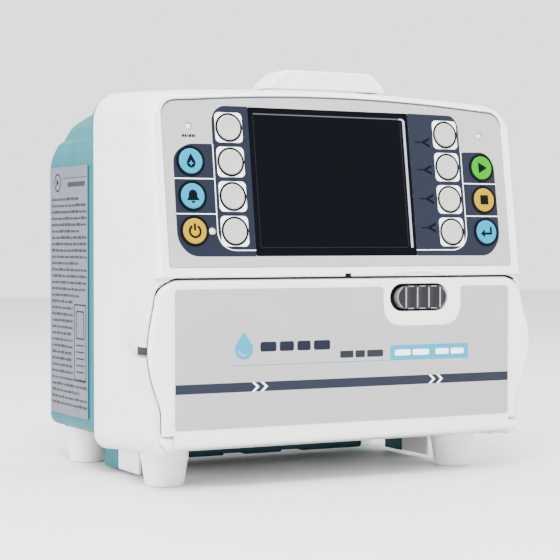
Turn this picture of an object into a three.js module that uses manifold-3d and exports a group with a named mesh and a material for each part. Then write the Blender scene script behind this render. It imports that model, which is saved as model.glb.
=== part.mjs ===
// Linear peristaltic infusion pump, in millimetres.
// The front faces -Y, +Z is up and the feet stand on Z = 0, with X = 0 on the plane of symmetry.
import * as THREE from 'three';
import { mergeVertices } from 'three/addons/utils/BufferGeometryUtils.js';
import Module from 'manifold-3d';

const wasm = await Module();
wasm.setup();

// ---------------------------------------------------------------- driving dimensions

const GAP = 0.3;                      // clearance between pieces that rest on each other
const FRONT_Y = -88;                  // lowest edge of the sloping control panel
const PARTING_Y = 15;                 // where the front case meets the rear case
const REAR_Y = 88;
const WALL = 3;

// front case
const CASE_HALF = 116.3;              // half width at the parting plane
const CASE_SIDE_TAPER = 0.012;        // loss of half width for each mm forward
const CASE_TOP = 226.6;               // top of the arch at the parting plane
const CASE_TOP_TAPER = 0.045;
const CASE_BOTTOM = 14.3;
const CASE_BOTTOM_TAPER = 0.08;
const TOP_ARCH_RADIUS = 1060;
const TOP_CORNER = 17;
const BOTTOM_CORNER = 10;
const EDGE_INSET = 4;                 // rounding of the panel's outer edge, across
const EDGE_DEPTH = 18;                // and front to back

// control panel
const PANEL_TILT = THREE.MathUtils.degToRad(8);
const PANEL_Z = 117;                  // height of the panel's lowest edge
const OVERLAY_HALF = 110.6;
const OVERLAY_LOW = 5.7;              // distances up the slope from the lowest edge
const OVERLAY_SHOULDER = 97.6;
const OVERLAY_TOP = 102.2;
const OVERLAY_SINK = 0.7;             // the overlay's face below the bezel
const SHEET = 0.8;
const PANEL_WALL_FRONT = 1.8;
const PANEL_WALL_BACK = 4.3;

// display
const WINDOW_LEFT = -58.3;
const WINDOW_RIGHT = 45.6;
const WINDOW_LOW = 11.7;
const WINDOW_TOP = 95.0;

// keys
const KEY_ROW_0 = 25.5;
const KEY_PITCH = 19.2;
const SOFT_KEY_X = 70.6;
const COLOUR_KEY_X = 94.8;
const KEY_RADIUS = 7.2;
const KEY_HOLE = 7.7;

// door
const DOOR_FRONT = -87.2;
const DOOR_BACK = -80.4;              // back edge of the door's rim
const LINER_BACK = -72.4;
const DOOR_LOW = 24.4;
const DOOR_TOP = 116.6;
const DOOR_CORNER = 8;
const DOOR_HALF_LOW = 116.2;
const DOOR_HALF_HIGH = 118.6;
const EAR_Z = 79;
const EAR_HALF = 123.9;
const BAY_Y = -71;                    // face of the bay wall behind the door
const BAY_HALF = 112.3;

// hinge
const HINGE_Y = -82.4;
const HINGE_Z = 27.4;
const HINGE_ROD = 1.5;
const BARREL = 4.3;                   // radius of the lugs that hold the rod
const LUG_INNER = 108.9;
const LUG_OUTER = 115.4;

// latch
const LATCH_X = 46.2;
const LATCH_Z = 104.4;
const LATCH_REST = 2.2;               // knob centre, to the right of the recess centre
const RECESS_LENGTH = 38.8;
const RECESS_HEIGHT = 15.8;
const KNOB_LENGTH = 33.6;
const KNOB_HEIGHT = 13.2;

// tube path and pump
const TUBE_Z = 76;
const SLOT_HALF = 2.6;
const SHAFT_Y = -48;
const CAM_RADIUS = 6.5;
const CAM_THROW = 1.5;
const CAM_WIDTH = 6.2;
const FINGER_COUNT = 8;
const FINGER_PITCH = 8;
const GEAR_TEETH = 30;
const PINION_TEETH = 15;
const GEAR_MODULE = 1;
const GEAR_FREE_PLAY = 0.4;
const GEAR_X = 50;
const GEAR_WIDTH = 4;
const MOTOR_Y = SHAFT_Y + (GEAR_TEETH + PINION_TEETH) * GEAR_MODULE / 2 + GEAR_FREE_PLAY;

// rear case
const REAR_HALF = 114.9;
const REAR_BOTTOM = 22.5;

// feet
const FOOT_X = 96.3;
const FRONT_FOOT_Y = -46;
const REAR_FOOT_Y = 73.5;
const FOOT_TOP_RADIUS = 13.6;
const FOOT_LOW_RADIUS = 10.8;

// grip on top
const GRIP_HALF_LOW = 38;
const GRIP_HALF_TOP = 28.4;
const GRIP_TOP = 234.4;
const GRIP_FRONT = -62;
const GRIP_BACK = -40;
const POCKET_HALF = 31;
const POCKET_FRONT = -56;
const POCKET_BACK = -14;
const POCKET_FLOOR = 207;

// ---------------------------------------------------------------- finishes

const finish = (color, roughness, metalness) => ({ color, roughness, metalness });
const WHITE = finish(0xf1f1ef, 0.42, 0);
const TEAL = finish(0x62b9bf, 0.45, 0);
const PANEL_GREY = finish(0xcfcfce, 0.5, 0);
const LABEL_GREY = finish(0xa9adb8, 0.5, 0);
const KEY_GREY = finish(0xd9dad7, 0.5, 0);
const BLUE = finish(0x4cc8ee, 0.5, 0);
const YELLOW = finish(0xf7c81c, 0.5, 0);
const GREEN = finish(0x6dcb3f, 0.5, 0);
const BLACK = finish(0x0a0c12, 0.12, 0);
const DARK = finish(0x23242a, 0.6, 0);
const VIOLET_GREY = finish(0x55505c, 0.5, 0);
const BOARD = finish(0x1f6a3c, 0.6, 0);
const STEEL = finish(0xb9bcc0, 0.3, 1);
const ALUMINIUM = finish(0xc2c5c9, 0.4, 1);
const LENS = finish(0xf4f4f4, 0.2, 0);

// ---------------------------------------------------------------- solid helpers

function toSolid(geometry) {
  const bare = geometry.clone();
  bare.deleteAttribute('normal');
  bare.deleteAttribute('uv');
  const merged = mergeVertices(bare, 1e-4);
  return new wasm.Manifold(new wasm.Mesh({
    numProp: 3,
    vertProperties: new Float32Array(merged.attributes.position.array),
    triVerts: new Uint32Array(merged.index.array),
  }));
}

function toGeometry(solid) {
  const mesh = solid.getMesh();
  const geometry = new THREE.BufferGeometry();
  geometry.setAttribute('position', new THREE.BufferAttribute(new Float32Array(mesh.vertProperties), 3));
  geometry.setIndex(new THREE.BufferAttribute(new Uint32Array(mesh.triVerts), 1));
  return geometry;
}

function cut(body, ...tools) {
  return toGeometry(tools.reduce((solid, tool) => solid.subtract(toSolid(tool)), toSolid(body)));
}

function join(body, ...extras) {
  return toGeometry(extras.reduce((solid, extra) => solid.add(toSolid(extra)), toSolid(body)));
}

// A block given by its two limits along each axis.
function block([x0, x1], [y0, y1], [z0, z1]) {
  const geometry = new THREE.BoxGeometry(x1 - x0, y1 - y0, z1 - z0);
  return geometry.translate((x0 + x1) / 2, (y0 + y1) / 2, (z0 + z1) / 2);
}

function extrude(shape, depth, curveSegments = 6) {
  return new THREE.ExtrudeGeometry(shape, { depth, bevelEnabled: false, curveSegments });
}

// An outline in X and Z, given thickness from yFront back to yBack.
function plateXZ(shape, yFront, yBack, curveSegments) {
  return extrude(shape, yBack - yFront, curveSegments).rotateX(Math.PI / 2).translate(0, yBack, 0);
}

// An outline drawn as (Y, Z), given thickness along X.
function plateYZ(shape, x0, x1, curveSegments) {
  const geometry = extrude(shape, x1 - x0, curveSegments);
  const axes = new THREE.Matrix4().makeBasis(
    new THREE.Vector3(0, 1, 0), new THREE.Vector3(0, 0, 1), new THREE.Vector3(1, 0, 0));
  return geometry.applyMatrix4(axes).translate(x0, 0, 0);
}

function polygon(points) {
  return new THREE.Shape(points.map(([x, y]) => new THREE.Vector2(x, y)));
}

function roundedRect([x0, x1], [y0, y1], radius) {
  const shape = new THREE.Shape();
  shape.moveTo(x0 + radius, y0);
  shape.lineTo(x1 - radius, y0);
  shape.absarc(x1 - radius, y0 + radius, radius, -Math.PI / 2, 0);
  shape.lineTo(x1, y1 - radius);
  shape.absarc(x1 - radius, y1 - radius, radius, 0, Math.PI / 2);
  shape.lineTo(x0 + radius, y1);
  shape.absarc(x0 + radius, y1 - radius, radius, Math.PI / 2, Math.PI);
  shape.lineTo(x0, y0 + radius);
  shape.absarc(x0 + radius, y0 + radius, radius, Math.PI, 1.5 * Math.PI);
  return shape;
}

function circle(x, y, radius) {
  const shape = new THREE.Shape();
  shape.absarc(x, y, radius, 0, 2 * Math.PI);
  return shape;
}

// A round bar along X.
function barX(radius, x0, x1, y, z, segments = 20) {
  const geometry = new THREE.CylinderGeometry(radius, radius, x1 - x0, segments);
  return geometry.rotateZ(Math.PI / 2).translate((x0 + x1) / 2, y, z);
}

// A closed skin over rings that all have the same number of points, front ring last.
function loft(rings) {
  const count = rings[0].length;
  const flat = rings[0].map((point) => new THREE.Vector2(point.x, point.z));
  const caps = THREE.ShapeUtils.triangulateShape(flat, []);
  const index = [];
  for (let ring = 0; ring + 1 < rings.length; ring += 1) {
    for (let i = 0; i < count; i += 1) {
      const a = ring * count + i;
      const b = ring * count + (i + 1) % count;
      index.push(a, b, a + count, b, b + count, a + count);
    }
  }
  const last = (rings.length - 1) * count;
  for (const [a, b, c] of caps) {
    index.push(c, b, a, last + a, last + b, last + c);
  }
  const geometry = new THREE.BufferGeometry();
  geometry.setFromPoints(rings.flat());
  geometry.setIndex(index);
  return facingOut(geometry);
}

// Turns the faces of a closed skin outwards if its rings ran the other way.
function facingOut(geometry) {
  const position = geometry.attributes.position;
  const corner = [new THREE.Vector3(), new THREE.Vector3(), new THREE.Vector3()];
  const index = geometry.index.array;
  let volume = 0;
  for (let i = 0; i < index.length; i += 3) {
    corner.forEach((point, k) => point.fromBufferAttribute(position, index[i + k]));
    volume += corner[0].dot(corner[1].cross(corner[2]));
  }
  if (volume < 0) {
    for (let i = 0; i < index.length; i += 3) {
      [index[i], index[i + 1]] = [index[i + 1], index[i]];
    }
  }
  return geometry;
}

function arcPoints(x, z, radius, from, to, steps) {
  const points = [];
  for (let i = 0; i <= steps; i += 1) {
    const angle = THREE.MathUtils.degToRad(from + (to - from) * i / steps);
    points.push([x + radius * Math.cos(angle), z + radius * Math.sin(angle)]);
  }
  return points;
}

// The right half of an outline from bottom to top, completed by its mirror image.
function mirrored(half) {
  const left = half.map(([x, z]) => [-x, z]).reverse();
  return half.concat(left.filter(([x]) => Math.abs(x) > 1e-6));
}

// ---------------------------------------------------------------- outlines shared by case and door

const archDrop = (x) => x * x / (2 * TOP_ARCH_RADIUS);

// Half width of the door, which swells into an ear where the tube passes.
function doorHalf(z) {
  const base = z > EAR_Z ? DOOR_HALF_HIGH : DOOR_HALF_LOW;
  const reach = z > EAR_Z ? 24 : 28;
  const share = Math.min(Math.abs(z - EAR_Z) / reach, 1);
  return base + (EAR_HALF - base) * Math.cos(share * Math.PI / 2) ** 2;
}

// One ring of the front case. forward is how far the ring lies ahead of the parting plane,
// tilt the share of the panel's slope that it follows, inset its rounding at the panel.
function caseRing(forward, tilt, inset) {
  const half = CASE_HALF - CASE_SIDE_TAPER * forward;
  const top = CASE_TOP - CASE_TOP_TAPER * forward - inset;
  const bottom = CASE_BOTTOM + CASE_BOTTOM_TAPER * forward;
  const flareShare = THREE.MathUtils.smoothstep(forward, 55, 95);
  const side = (z) => {
    const plain = half - inset * THREE.MathUtils.smoothstep(z, 110, 120);
    const fade = 1 - THREE.MathUtils.smoothstep(z, 106, 118);
    const flare = Math.max(doorHalf(z) - 0.2 - plain, 0) * fade;
    return [plain + flare * flareShare, z];
  };
  const cornerX = half - TOP_CORNER;
  const shoulder = top - archDrop(cornerX);
  const radius = TOP_CORNER - inset;
  const right = [
    ...arcPoints(half - BOTTOM_CORNER, bottom + BOTTOM_CORNER, BOTTOM_CORNER, -90, 0, 4),
    ...[44, 52, 58, 64, 70, 76, 82, 88, 94, 100, 106, 110, 114, 118, 122].map(side),
    ...arcPoints(cornerX, shoulder - radius, radius, 0, 90, 5),
    ...[75, 50, 25, 0].map((x) => [x, top - archDrop(x)]),
  ];
  return mirrored(right).map(([x, z]) => {
    const slope = tilt * (z - PANEL_Z) * Math.tan(PANEL_TILT);
    return new THREE.Vector3(x, PARTING_Y - forward + slope, z);
  });
}

const panelMatrix = new THREE.Matrix4().makeRotationX(Math.PI / 2 - PANEL_TILT);
panelMatrix.setPosition(0, FRONT_Y, PANEL_Z);
const onPanel = (geometry) => geometry.clone().applyMatrix4(panelMatrix);

// The arched area of the overlay, drawn on the panel's own plane.
function overlayShape(clearance) {
  const half = OVERLAY_HALF + clearance;
  const corner = 9;
  const right = [
    [half, OVERLAY_LOW - clearance],
    ...arcPoints(half - corner, OVERLAY_SHOULDER - corner + clearance, corner, 0, 90, 4),
    ...[75, 50, 25, 0].map((x) => [x, OVERLAY_TOP + clearance - archDrop(x)]),
  ];
  return polygon(mirrored(right));
}

// Every key: name, place across and row counted from the bottom, finish.
const softKeys = [0, 1, 2, 3].flatMap((row) => [
  { name: `soft_key_left_${4 - row}`, x: -SOFT_KEY_X, row, look: KEY_GREY },
  { name: `soft_key_right_${4 - row}`, x: SOFT_KEY_X, row, look: KEY_GREY },
]);
const colourKeys = [
  { name: 'key_bolus', x: -COLOUR_KEY_X, row: 2, look: BLUE },
  { name: 'key_silence', x: -COLOUR_KEY_X, row: 1, look: BLUE },
  { name: 'key_power', x: -COLOUR_KEY_X, row: 0, look: YELLOW },
  { name: 'key_start', x: COLOUR_KEY_X, row: 2, look: GREEN },
  { name: 'key_stop', x: COLOUR_KEY_X, row: 1, look: YELLOW },
  { name: 'key_enter', x: COLOUR_KEY_X, row: 0, look: BLUE },
];
const keys = [...softKeys, ...colourKeys];
const keyHeight = (row) => KEY_ROW_0 + KEY_PITCH * row;

const INDICATOR_RADIUS = 1.9;
const indicators = [
  { name: 'mains_indicator', x: -COLOUR_KEY_X, y: keyHeight(3) },
  { name: 'alarm_indicator', x: COLOUR_KEY_X, y: keyHeight(3) },
  { name: 'power_indicator', x: -84.2, y: keyHeight(0) },
];

// A straight hole through the whole panel, for a key or an indicator.
function panelHole(x, y, radius) {
  return extrude(circle(x, y, radius), 20, 6).translate(0, 0, -15);
}

// ---------------------------------------------------------------- front case

function frontCase() {
  const forwardToPanel = PARTING_Y - FRONT_Y;
  const edge = [0, 20, 40, 60, 75, 90].map((degrees) => {
    const angle = THREE.MathUtils.degToRad(degrees);
    const forward = forwardToPanel - EDGE_DEPTH * (1 - Math.sin(angle));
    return caseRing(forward, 1, EDGE_INSET * (1 - Math.cos(angle)));
  });
  const outer = loft([caseRing(0, 0, 0), caseRing(52, 0, 0), caseRing(68, 0.3, 0), ...edge]);

  const bay = block([-BAY_HALF, BAY_HALF], [-140, BAY_Y], [-20, DOOR_TOP + GAP]);
  const ahead = block([-150, 150], [-140, DOOR_BACK + GAP], [-20, DOOR_TOP + GAP]);
  const chin = plateYZ(polygon([[-52, 0], [-52, 18.2], [-75, 24.5], [-75, 0]]), -108.5, 108.5);
  const shell = cut(outer, caseCavity(), bay, ahead, chin, ...panelCutters(), ...bayCutters());
  const whole = join(shell, pocketWalls(), hingeLugs(), ...skirts(-21, PARTING_Y, 2, 20));
  return cut(whole, pocketVoid(), ...hingeBores());
}

function caseCavity() {
  const ring = (forward) => {
    const half = CASE_HALF - CASE_SIDE_TAPER * forward - WALL;
    const top = CASE_TOP - CASE_TOP_TAPER * forward - archDrop(CASE_HALF - TOP_CORNER) - WALL;
    const bottom = CASE_BOTTOM + CASE_BOTTOM_TAPER * forward + WALL;
    const right = [
      ...arcPoints(half - 7, bottom + 7, 7, -90, 0, 3),
      ...arcPoints(half - 14, top - 14, 14, 0, 90, 4),
    ];
    return mirrored(right).map(([x, z]) => new THREE.Vector3(x, PARTING_Y - forward, z));
  };
  const room = loft([ring(WALL), ring(PARTING_Y - BAY_Y - WALL)]);
  const mouth = loft([rearRing(PARTING_Y + 2, WALL), rearRing(PARTING_Y - WALL - 1, WALL)]);
  const behindPanel = roundedRect([-108.5, 108.5], [3, 98], 12);
  return join(room, mouth, onPanel(extrude(behindPanel, 24).translate(0, 0, -24 - PANEL_WALL_BACK)));
}

// Openings of the panel, and the shallow seat of the overlay.
function panelCutters() {
  const seat = extrude(overlayShape(GAP), 20).translate(0, 0, -PANEL_WALL_FRONT);
  const view = roundedRect([WINDOW_LEFT + 2, WINDOW_RIGHT - 2], [WINDOW_LOW + 2, WINDOW_TOP - 2], 1);
  const holes = keys.map(({ x, row }) => panelHole(x, keyHeight(row), KEY_HOLE));
  const lamps = indicators.map(({ x, y }) => panelHole(x, y, INDICATOR_RADIUS + GAP));
  const opening = extrude(view, 20).translate(0, 0, -15);
  const catchNotch = block([-3.4, 0.9], [-120, -84], [DOOR_TOP - 1, PANEL_Z + 1.6]);
  return [...[seat, opening, ...holes, ...lamps].map(onPanel), catchNotch];
}

// Openings of the bay wall, and the tube slots at both sides.
function bayCutters() {
  const through = [BAY_Y - 2, BAY_Y + WALL + 2];
  const pump = block([-46.8, 46.8], through, [59.4, 92.6]);
  const bubble = block([59.6, 72.4], through, [67.6, 84.4]);
  const pressure = block([-72.4, -59.6], through, [67.6, 84.4]);
  const keeper = block([55, 69], through, [101.5, 113]);
  return [pump, bubble, pressure, keeper, tubeSlot(1), tubeSlot(-1)];
}

// The slot starts as a shallow groove along the case's side and deepens into the bay.
function tubeSlot(side) {
  const outline = polygon([
    [side * 125, -36], [side * 115.6, -36], [side * 113.9, BAY_Y + 1],
    [side * 111, BAY_Y + 1], [side * 111, -90], [side * 125, -90],
  ]);
  return extrude(outline, 2 * SLOT_HALF).translate(0, 0, TUBE_Z - SLOT_HALF);
}

function pocketWalls() {
  const outside = 2.4;
  return block(
    [-POCKET_HALF - outside, POCKET_HALF + outside],
    [POCKET_FRONT - outside, POCKET_BACK + outside],
    [POCKET_FLOOR - outside, 221]);
}

const pocketVoid = () => block(
  [-POCKET_HALF, POCKET_HALF], [POCKET_FRONT, POCKET_BACK], [POCKET_FLOOR, 240]);

// A lug at each lower corner: a barrel round the hinge rod on a web, with its outer corner bevelled.
function hingeLugs() {
  const web = plateYZ(polygon([
    [HINGE_Y, HINGE_Z - BARREL], [-69, 21.5], [-69, HINGE_Z + BARREL], [HINGE_Y, HINGE_Z + BARREL],
  ]), -LUG_OUTER, LUG_OUTER);
  const lugs = join(web, barX(BARREL, -LUG_OUTER, LUG_OUTER, HINGE_Y, HINGE_Z, 20));
  const between = block([-LUG_INNER, LUG_INNER], [-100, -60], [0, 50]);
  const bevel = (side) => plateXZ(polygon([
    [side * 120, 15], [side * 120, 30], [side * 115.5, 28], [side * 109, 22], [side * 109, 15],
  ]), -100, -60);
  return cut(lugs, between, bevel(1), bevel(-1));
}

const hingeBores = () => [barX(HINGE_ROD + GAP, -120, 120, HINGE_Y, HINGE_Z, 16)];

// The rails under both cases, one at each side.
function skirts(y0, y1, z0, z1) {
  return [1, -1].map((side) => {
    const [inner, outer] = [side * 98.2, side * 102.4].sort((a, b) => a - b);
    return block([inner, outer], [y0, y1], [z0, z1]);
  });
}

// ---------------------------------------------------------------- rear case

// Right half of the rear outline, bottom to top: plain side, ledge and sloping shoulder.
function rearOutline(inset) {
  const half = REAR_HALF - inset;
  return [
    ...arcPoints(half - 6, REAR_BOTTOM + inset + 6, 6, -90, 0, 3),
    [half, 182],
    [half - 1.6, 189.5],
    [half - 5.6, 197],
    [half - 9.3, 199.4],
    [half - 14.6 + inset * 0.2, 208.4 - inset * 0.4],
    [half - 28.4 + inset * 0.4, 217.4 - inset * 0.9],
    [45, 220.2 - inset],
    [0, 221.2 - inset],
  ];
}

function rearRing(y, inset) {
  return mirrored(rearOutline(inset)).map(([x, z]) => new THREE.Vector3(x, y, z));
}

function rearCase() {
  const front = PARTING_Y + GAP;
  const outer = loft([
    rearRing(REAR_Y, 6), rearRing(REAR_Y - 0.8, 3.4), rearRing(REAR_Y - 2.6, 1.6),
    rearRing(REAR_Y - 6, 0.6), rearRing(front, 0),
  ]);
  const cavity = loft([rearRing(REAR_Y - WALL, WALL + 1.4), rearRing(front - 2, WALL)]);
  const batteryBlock = plateYZ(polygon([[19, 7], [21, 5], [58, 5], [60, 7], [60, 24], [19, 24]]), -70, 70);
  const batteryRoom = block([-67.2, 67.2], [21.6, 57.4], [7.6, 40]);
  const thumbNotches = [-20, 20].map((x) => block([x - 8, x + 8], [17, 30], [4, 6.4]));
  const inlet = block([-74.3, -45.7], [REAR_Y - 6, REAR_Y + 2], [44.7, 65.3]);
  const shell = join(cut(outer, cavity), batteryBlock, ...skirts(front, 36, 1.6, 24));
  return cut(shell, batteryRoom, inlet, ...thumbNotches);
}

// ---------------------------------------------------------------- outside pieces

function grip() {
  const profile = polygon([
    [-GRIP_HALF_LOW, 219.5], [GRIP_HALF_LOW, 219.5], [GRIP_HALF_LOW, 226],
    [GRIP_HALF_TOP, GRIP_TOP], [-GRIP_HALF_TOP, GRIP_TOP], [-GRIP_HALF_LOW, 226],
  ]);
  const bar = plateXZ(profile, GRIP_FRONT, GRIP_BACK);
  const underside = block([-POCKET_HALF, POCKET_HALF], [POCKET_FRONT, 0], [210, 228]);
  const seat = loft([-70, -30].map((y) => {
    const top = CASE_TOP - CASE_TOP_TAPER * (PARTING_Y - y) + GAP;
    const arch = [60, 45, 30, 15, 0].map((x) => [x, top - archDrop(x)]);
    return mirrored([[60, 200], ...arch]).map(([x, z]) => new THREE.Vector3(x, y, z));
  }));
  return cut(bar, underside, seat);
}

function foot(top) {
  const profile = [
    [0, 0], [FOOT_LOW_RADIUS - 0.8, 0], [FOOT_LOW_RADIUS, 0.8],
    [FOOT_TOP_RADIUS, top - 2], [FOOT_TOP_RADIUS, top], [0, top],
  ].map(([r, z]) => new THREE.Vector2(r, z));
  return new THREE.LatheGeometry(profile, 24).rotateX(Math.PI / 2);
}

// The case's floor rises forward, so the top of a front foot is cut to the same slope.
function frontFoot() {
  const floor = (y) => CASE_BOTTOM + CASE_BOTTOM_TAPER * (PARTING_Y - y) - 2 * GAP;
  const reach = FOOT_TOP_RADIUS + 2;
  const above = polygon([
    [-reach, floor(FRONT_FOOT_Y - reach)], [reach, floor(FRONT_FOOT_Y + reach)],
    [reach, 40], [-reach, 40],
  ]);
  return cut(foot(24), plateYZ(above, -reach, reach));
}

function keyCap() {
  const profile = [
    [0, 0.3], [KEY_RADIUS - 0.9, 0.3], [KEY_RADIUS, -0.3],
    [KEY_RADIUS, -4.6], [KEY_RADIUS + 1, -4.6], [KEY_RADIUS + 1, -5.2], [0, -5.2],
  ].reverse().map(([r, z]) => new THREE.Vector2(r, z));
  return new THREE.LatheGeometry(profile, 16).rotateX(Math.PI / 2);
}

function panelOverlay() {
  const shape = overlayShape(0);
  shape.holes.push(roundedRect(
    [WINDOW_LEFT - GAP, WINDOW_RIGHT + GAP], [WINDOW_LOW - GAP, WINDOW_TOP + GAP], 1));
  keys.forEach(({ x, row }) => shape.holes.push(circle(x, keyHeight(row), KEY_HOLE)));
  indicators.forEach(({ x, y }) => shape.holes.push(circle(x, y, INDICATOR_RADIUS + GAP)));
  return extrude(shape, SHEET, 6).translate(0, 0, -OVERLAY_SINK - SHEET);
}

function displayWindow() {
  const shape = roundedRect([WINDOW_LEFT, WINDOW_RIGHT], [WINDOW_LOW, WINDOW_TOP], 0.8);
  return extrude(shape, SHEET, 2).translate(0, 0, -OVERLAY_SINK - SHEET);
}

function displayModule() {
  const outside = roundedRect([WINDOW_LEFT - 3, WINDOW_RIGHT + 3], [WINDOW_LOW - 2, WINDOW_TOP + 2], 2);
  const body = extrude(outside, 7.4, 2).translate(0, 0, -12);
  const face = block([WINDOW_LEFT + 4, WINDOW_RIGHT - 4], [WINDOW_LOW + 4, WINDOW_TOP - 4], [-5.2, -4]);
  return cut(body, face);
}

// A U-shaped board that reaches round the display module.
function keypadBoard() {
  const outside = roundedRect([-104, 104], [5, 94], 10);
  const displayRoom = roundedRect([WINDOW_LEFT - 4, WINDOW_RIGHT + 4], [WINDOW_LOW - 3.2, 130], 1);
  const plate = extrude(outside, 1.6, 3).translate(0, 0, -7.8);
  return cut(plate, extrude(displayRoom, 10, 2).translate(0, 0, -12));
}

function indicatorLens() {
  const profile = [[0, -4.6], [INDICATOR_RADIUS, -4.6], [INDICATOR_RADIUS, -0.6], [1.2, 0], [0, 0.1]]
    .map(([r, z]) => new THREE.Vector2(r, z));
  return new THREE.LatheGeometry(profile, 12).rotateX(Math.PI / 2);
}

// ---------------------------------------------------------------- door

function doorRing(y, inset) {
  const corner = DOOR_CORNER - inset * 0.6;
  const low = DOOR_LOW + inset;
  const high = DOOR_TOP - inset;
  const topHalf = DOOR_HALF_HIGH - inset;
  const right = [
    ...arcPoints(DOOR_HALF_LOW - inset - 5, low + 5, 5, -90, 0, 3),
    ...[44, 51, 56, 61, 66, 71, 75, 79, 83, 87, 91, 95, 100].map((z) => [doorHalf(z) - inset, z]),
    ...arcPoints(topHalf - corner, high - corner, corner, 0, 90, 4),
  ];
  return mirrored(right).map(([x, z]) => new THREE.Vector3(x, y, z));
}

function doorShell() {
  const outer = loft([
    doorRing(DOOR_BACK, 0), doorRing(DOOR_FRONT + 3.6, 0), doorRing(DOOR_FRONT + 1.4, 0.7),
    doorRing(DOOR_FRONT + 0.3, 2.1), doorRing(DOOR_FRONT, 3.8),
  ]);
  const inside = DOOR_FRONT + 2.6;
  const hollow = loft([doorRing(DOOR_BACK + 2, 3.4), doorRing(inside, 4.2)]);
  const latchBoss = block([21.5, 71], [inside - 1, -80.4], [94.5, 114.6]);
  const hinge = block([-LUG_INNER + 0.5, LUG_INNER - 0.5], [-86, -78.4], [DOOR_LOW + 0.6, 32]);
  const recess = roundedRect(
    [LATCH_X - RECESS_LENGTH / 2, LATCH_X + RECESS_LENGTH / 2],
    [LATCH_Z - RECESS_HEIGHT / 2, LATCH_Z + RECESS_HEIGHT / 2], RECESS_HEIGHT / 2 - 0.01);
  const stemSlot = block([39.6, 54.6], [-90, -70], [LATCH_Z - 3, LATCH_Z + 3]);
  const lugRoom = [1, -1].map((side) => {
    const limits = [side * (LUG_INNER - 0.4), side * 130].sort((a, b) => a - b);
    return block(limits, [-95, -70], [10, HINGE_Z + BARREL + 0.5]);
  });
  const solid = join(cut(outer, hollow), latchBoss, hinge);
  return cut(
    solid, plateXZ(recess, -95, -82.4, 5), stemSlot, ...lugRoom,
    barX(HINGE_ROD + GAP, -120, 120, HINGE_Y, HINGE_Z, 16));
}

// The door's inner plate, with the channel that holds the tube and the window of the pressure plate.
function doorLiner() {
  const plate = block([-110.8, 110.8], [LINER_BACK - 2.6, LINER_BACK], [34.5, 111.6]);
  const channel = block([-110.8, 110.8], [-80.2, LINER_BACK], [70, 82]);
  const rim = [1, -1].map((side) => {
    const limits = [side * 108.2, side * 110.8].sort((a, b) => a - b);
    return block(limits, [-82.5, LINER_BACK - 1], [34.5, 111.6]);
  });
  const groove = block([-120, 120], [-77.6, -70], [TUBE_Z - SLOT_HALF, TUBE_Z + SLOT_HALF]);
  const plateRoom = block([-37.6, 37.6], [-82, -70], [68.4, 83.6]);
  const hookRoom = block([20.5, 72], [-82, -70], [93.5, 115]);
  return cut(join(plate, channel, ...rim), groove, plateRoom, hookRoom);
}

function doorOverlay() {
  const sheet = roundedRect([-108, 108], [34.8, 110.7], 2);
  const notch = roundedRect([22, 74.5], [88.2, 140], 13);
  return cut(plateXZ(sheet, -87.9, -87.5, 3), plateXZ(notch, -95, -80, 5));
}

function latchKnob() {
  const half = KNOB_LENGTH / 2;
  const x = LATCH_X + LATCH_REST;
  const outline = roundedRect(
    [x - half, x + half], [LATCH_Z - KNOB_HEIGHT / 2, LATCH_Z + KNOB_HEIGHT / 2], KNOB_HEIGHT / 2 - 0.01);
  const ribs = [-11.5, -3.8, 3.9, 11.6].map((offset) =>
    block([x + offset - 0.7, x + offset + 0.7], [-87.8, -86], [LATCH_Z - 5.4, LATCH_Z + 5.4]));
  const stem = block([x - 4, x + 4], [-84, -79.6], [LATCH_Z - 2.6, LATCH_Z + 2.6]);
  return join(plateXZ(outline, -86.4, -82.8, 5), stem, ...ribs);
}

// The hook moves with the knob and reaches back through the keeper slot in the bay wall.
function latchHook() {
  const bar = block([32, 66], [-79.2, -77], [99.5, 109.5]);
  const arm = plateYZ(polygon([[-79.2, 103], [-64.5, 103], [-63, 105], [-64.5, 109], [-79.2, 109]]), 62, 66);
  return join(bar, arm);
}

// A round wire wound about the X axis.
function spring(x0, x1, coilRadius, wireRadius, turns, y, z) {
  const steps = turns * 8;
  const points = [];
  for (let i = 0; i <= steps; i += 1) {
    const angle = i * Math.PI / 4;
    points.push(new THREE.Vector3(
      x0 + (x1 - x0) * i / steps,
      y + coilRadius * Math.cos(angle),
      z + coilRadius * Math.sin(angle)));
  }
  const path = new THREE.CatmullRomCurve3(points);
  const section = new THREE.Shape();
  section.absarc(0, 0, wireRadius, 0, 2 * Math.PI);
  return new THREE.ExtrudeGeometry(section, { steps, extrudePath: path, curveSegments: 3 });
}

// A bowed strip between the door's front wall and the pressure plate.
function plateSpring() {
  const bow = (x, offset) => [x, -84 + 2.7 * Math.cos(x * Math.PI / 64) + offset];
  const across = [-32, -24, -16, -8, 0, 8, 16, 24, 32];
  const outline = [...across.map((x) => bow(x, 0)), ...[...across].reverse().map((x) => bow(x, 0.4))];
  return extrude(polygon(outline), 8).translate(0, 0, TUBE_Z - 4);
}

// ---------------------------------------------------------------- pumping mechanism

const fingerX = (i) => (i - (FINGER_COUNT - 1) / 2) * FINGER_PITCH;

function pumpFrame() {
  const guide = block([-46.2, 46.2], [BAY_Y, -64.6], [60, 92]);
  const ends = [[-46.2, -42.6], [42.6, 46.2]].map((limits) => block(limits, [-65, -11], [60, 92]));
  const slots = [];
  for (let i = 0; i < FINGER_COUNT; i += 1) {
    const x = fingerX(i);
    slots.push(block([x - 3.5, x + 3.5], [-80, -60], [TUBE_Z - 5, TUBE_Z + 5]));
  }
  const bearingSeat = barX(6.8, -50, 50, SHAFT_Y, TUBE_Z, 20);
  const motorHole = barX(4, 40, 50, MOTOR_Y, TUBE_Z, 16);
  return cut(join(guide, ...ends), ...slots, bearingSeat, motorHole);
}

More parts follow.
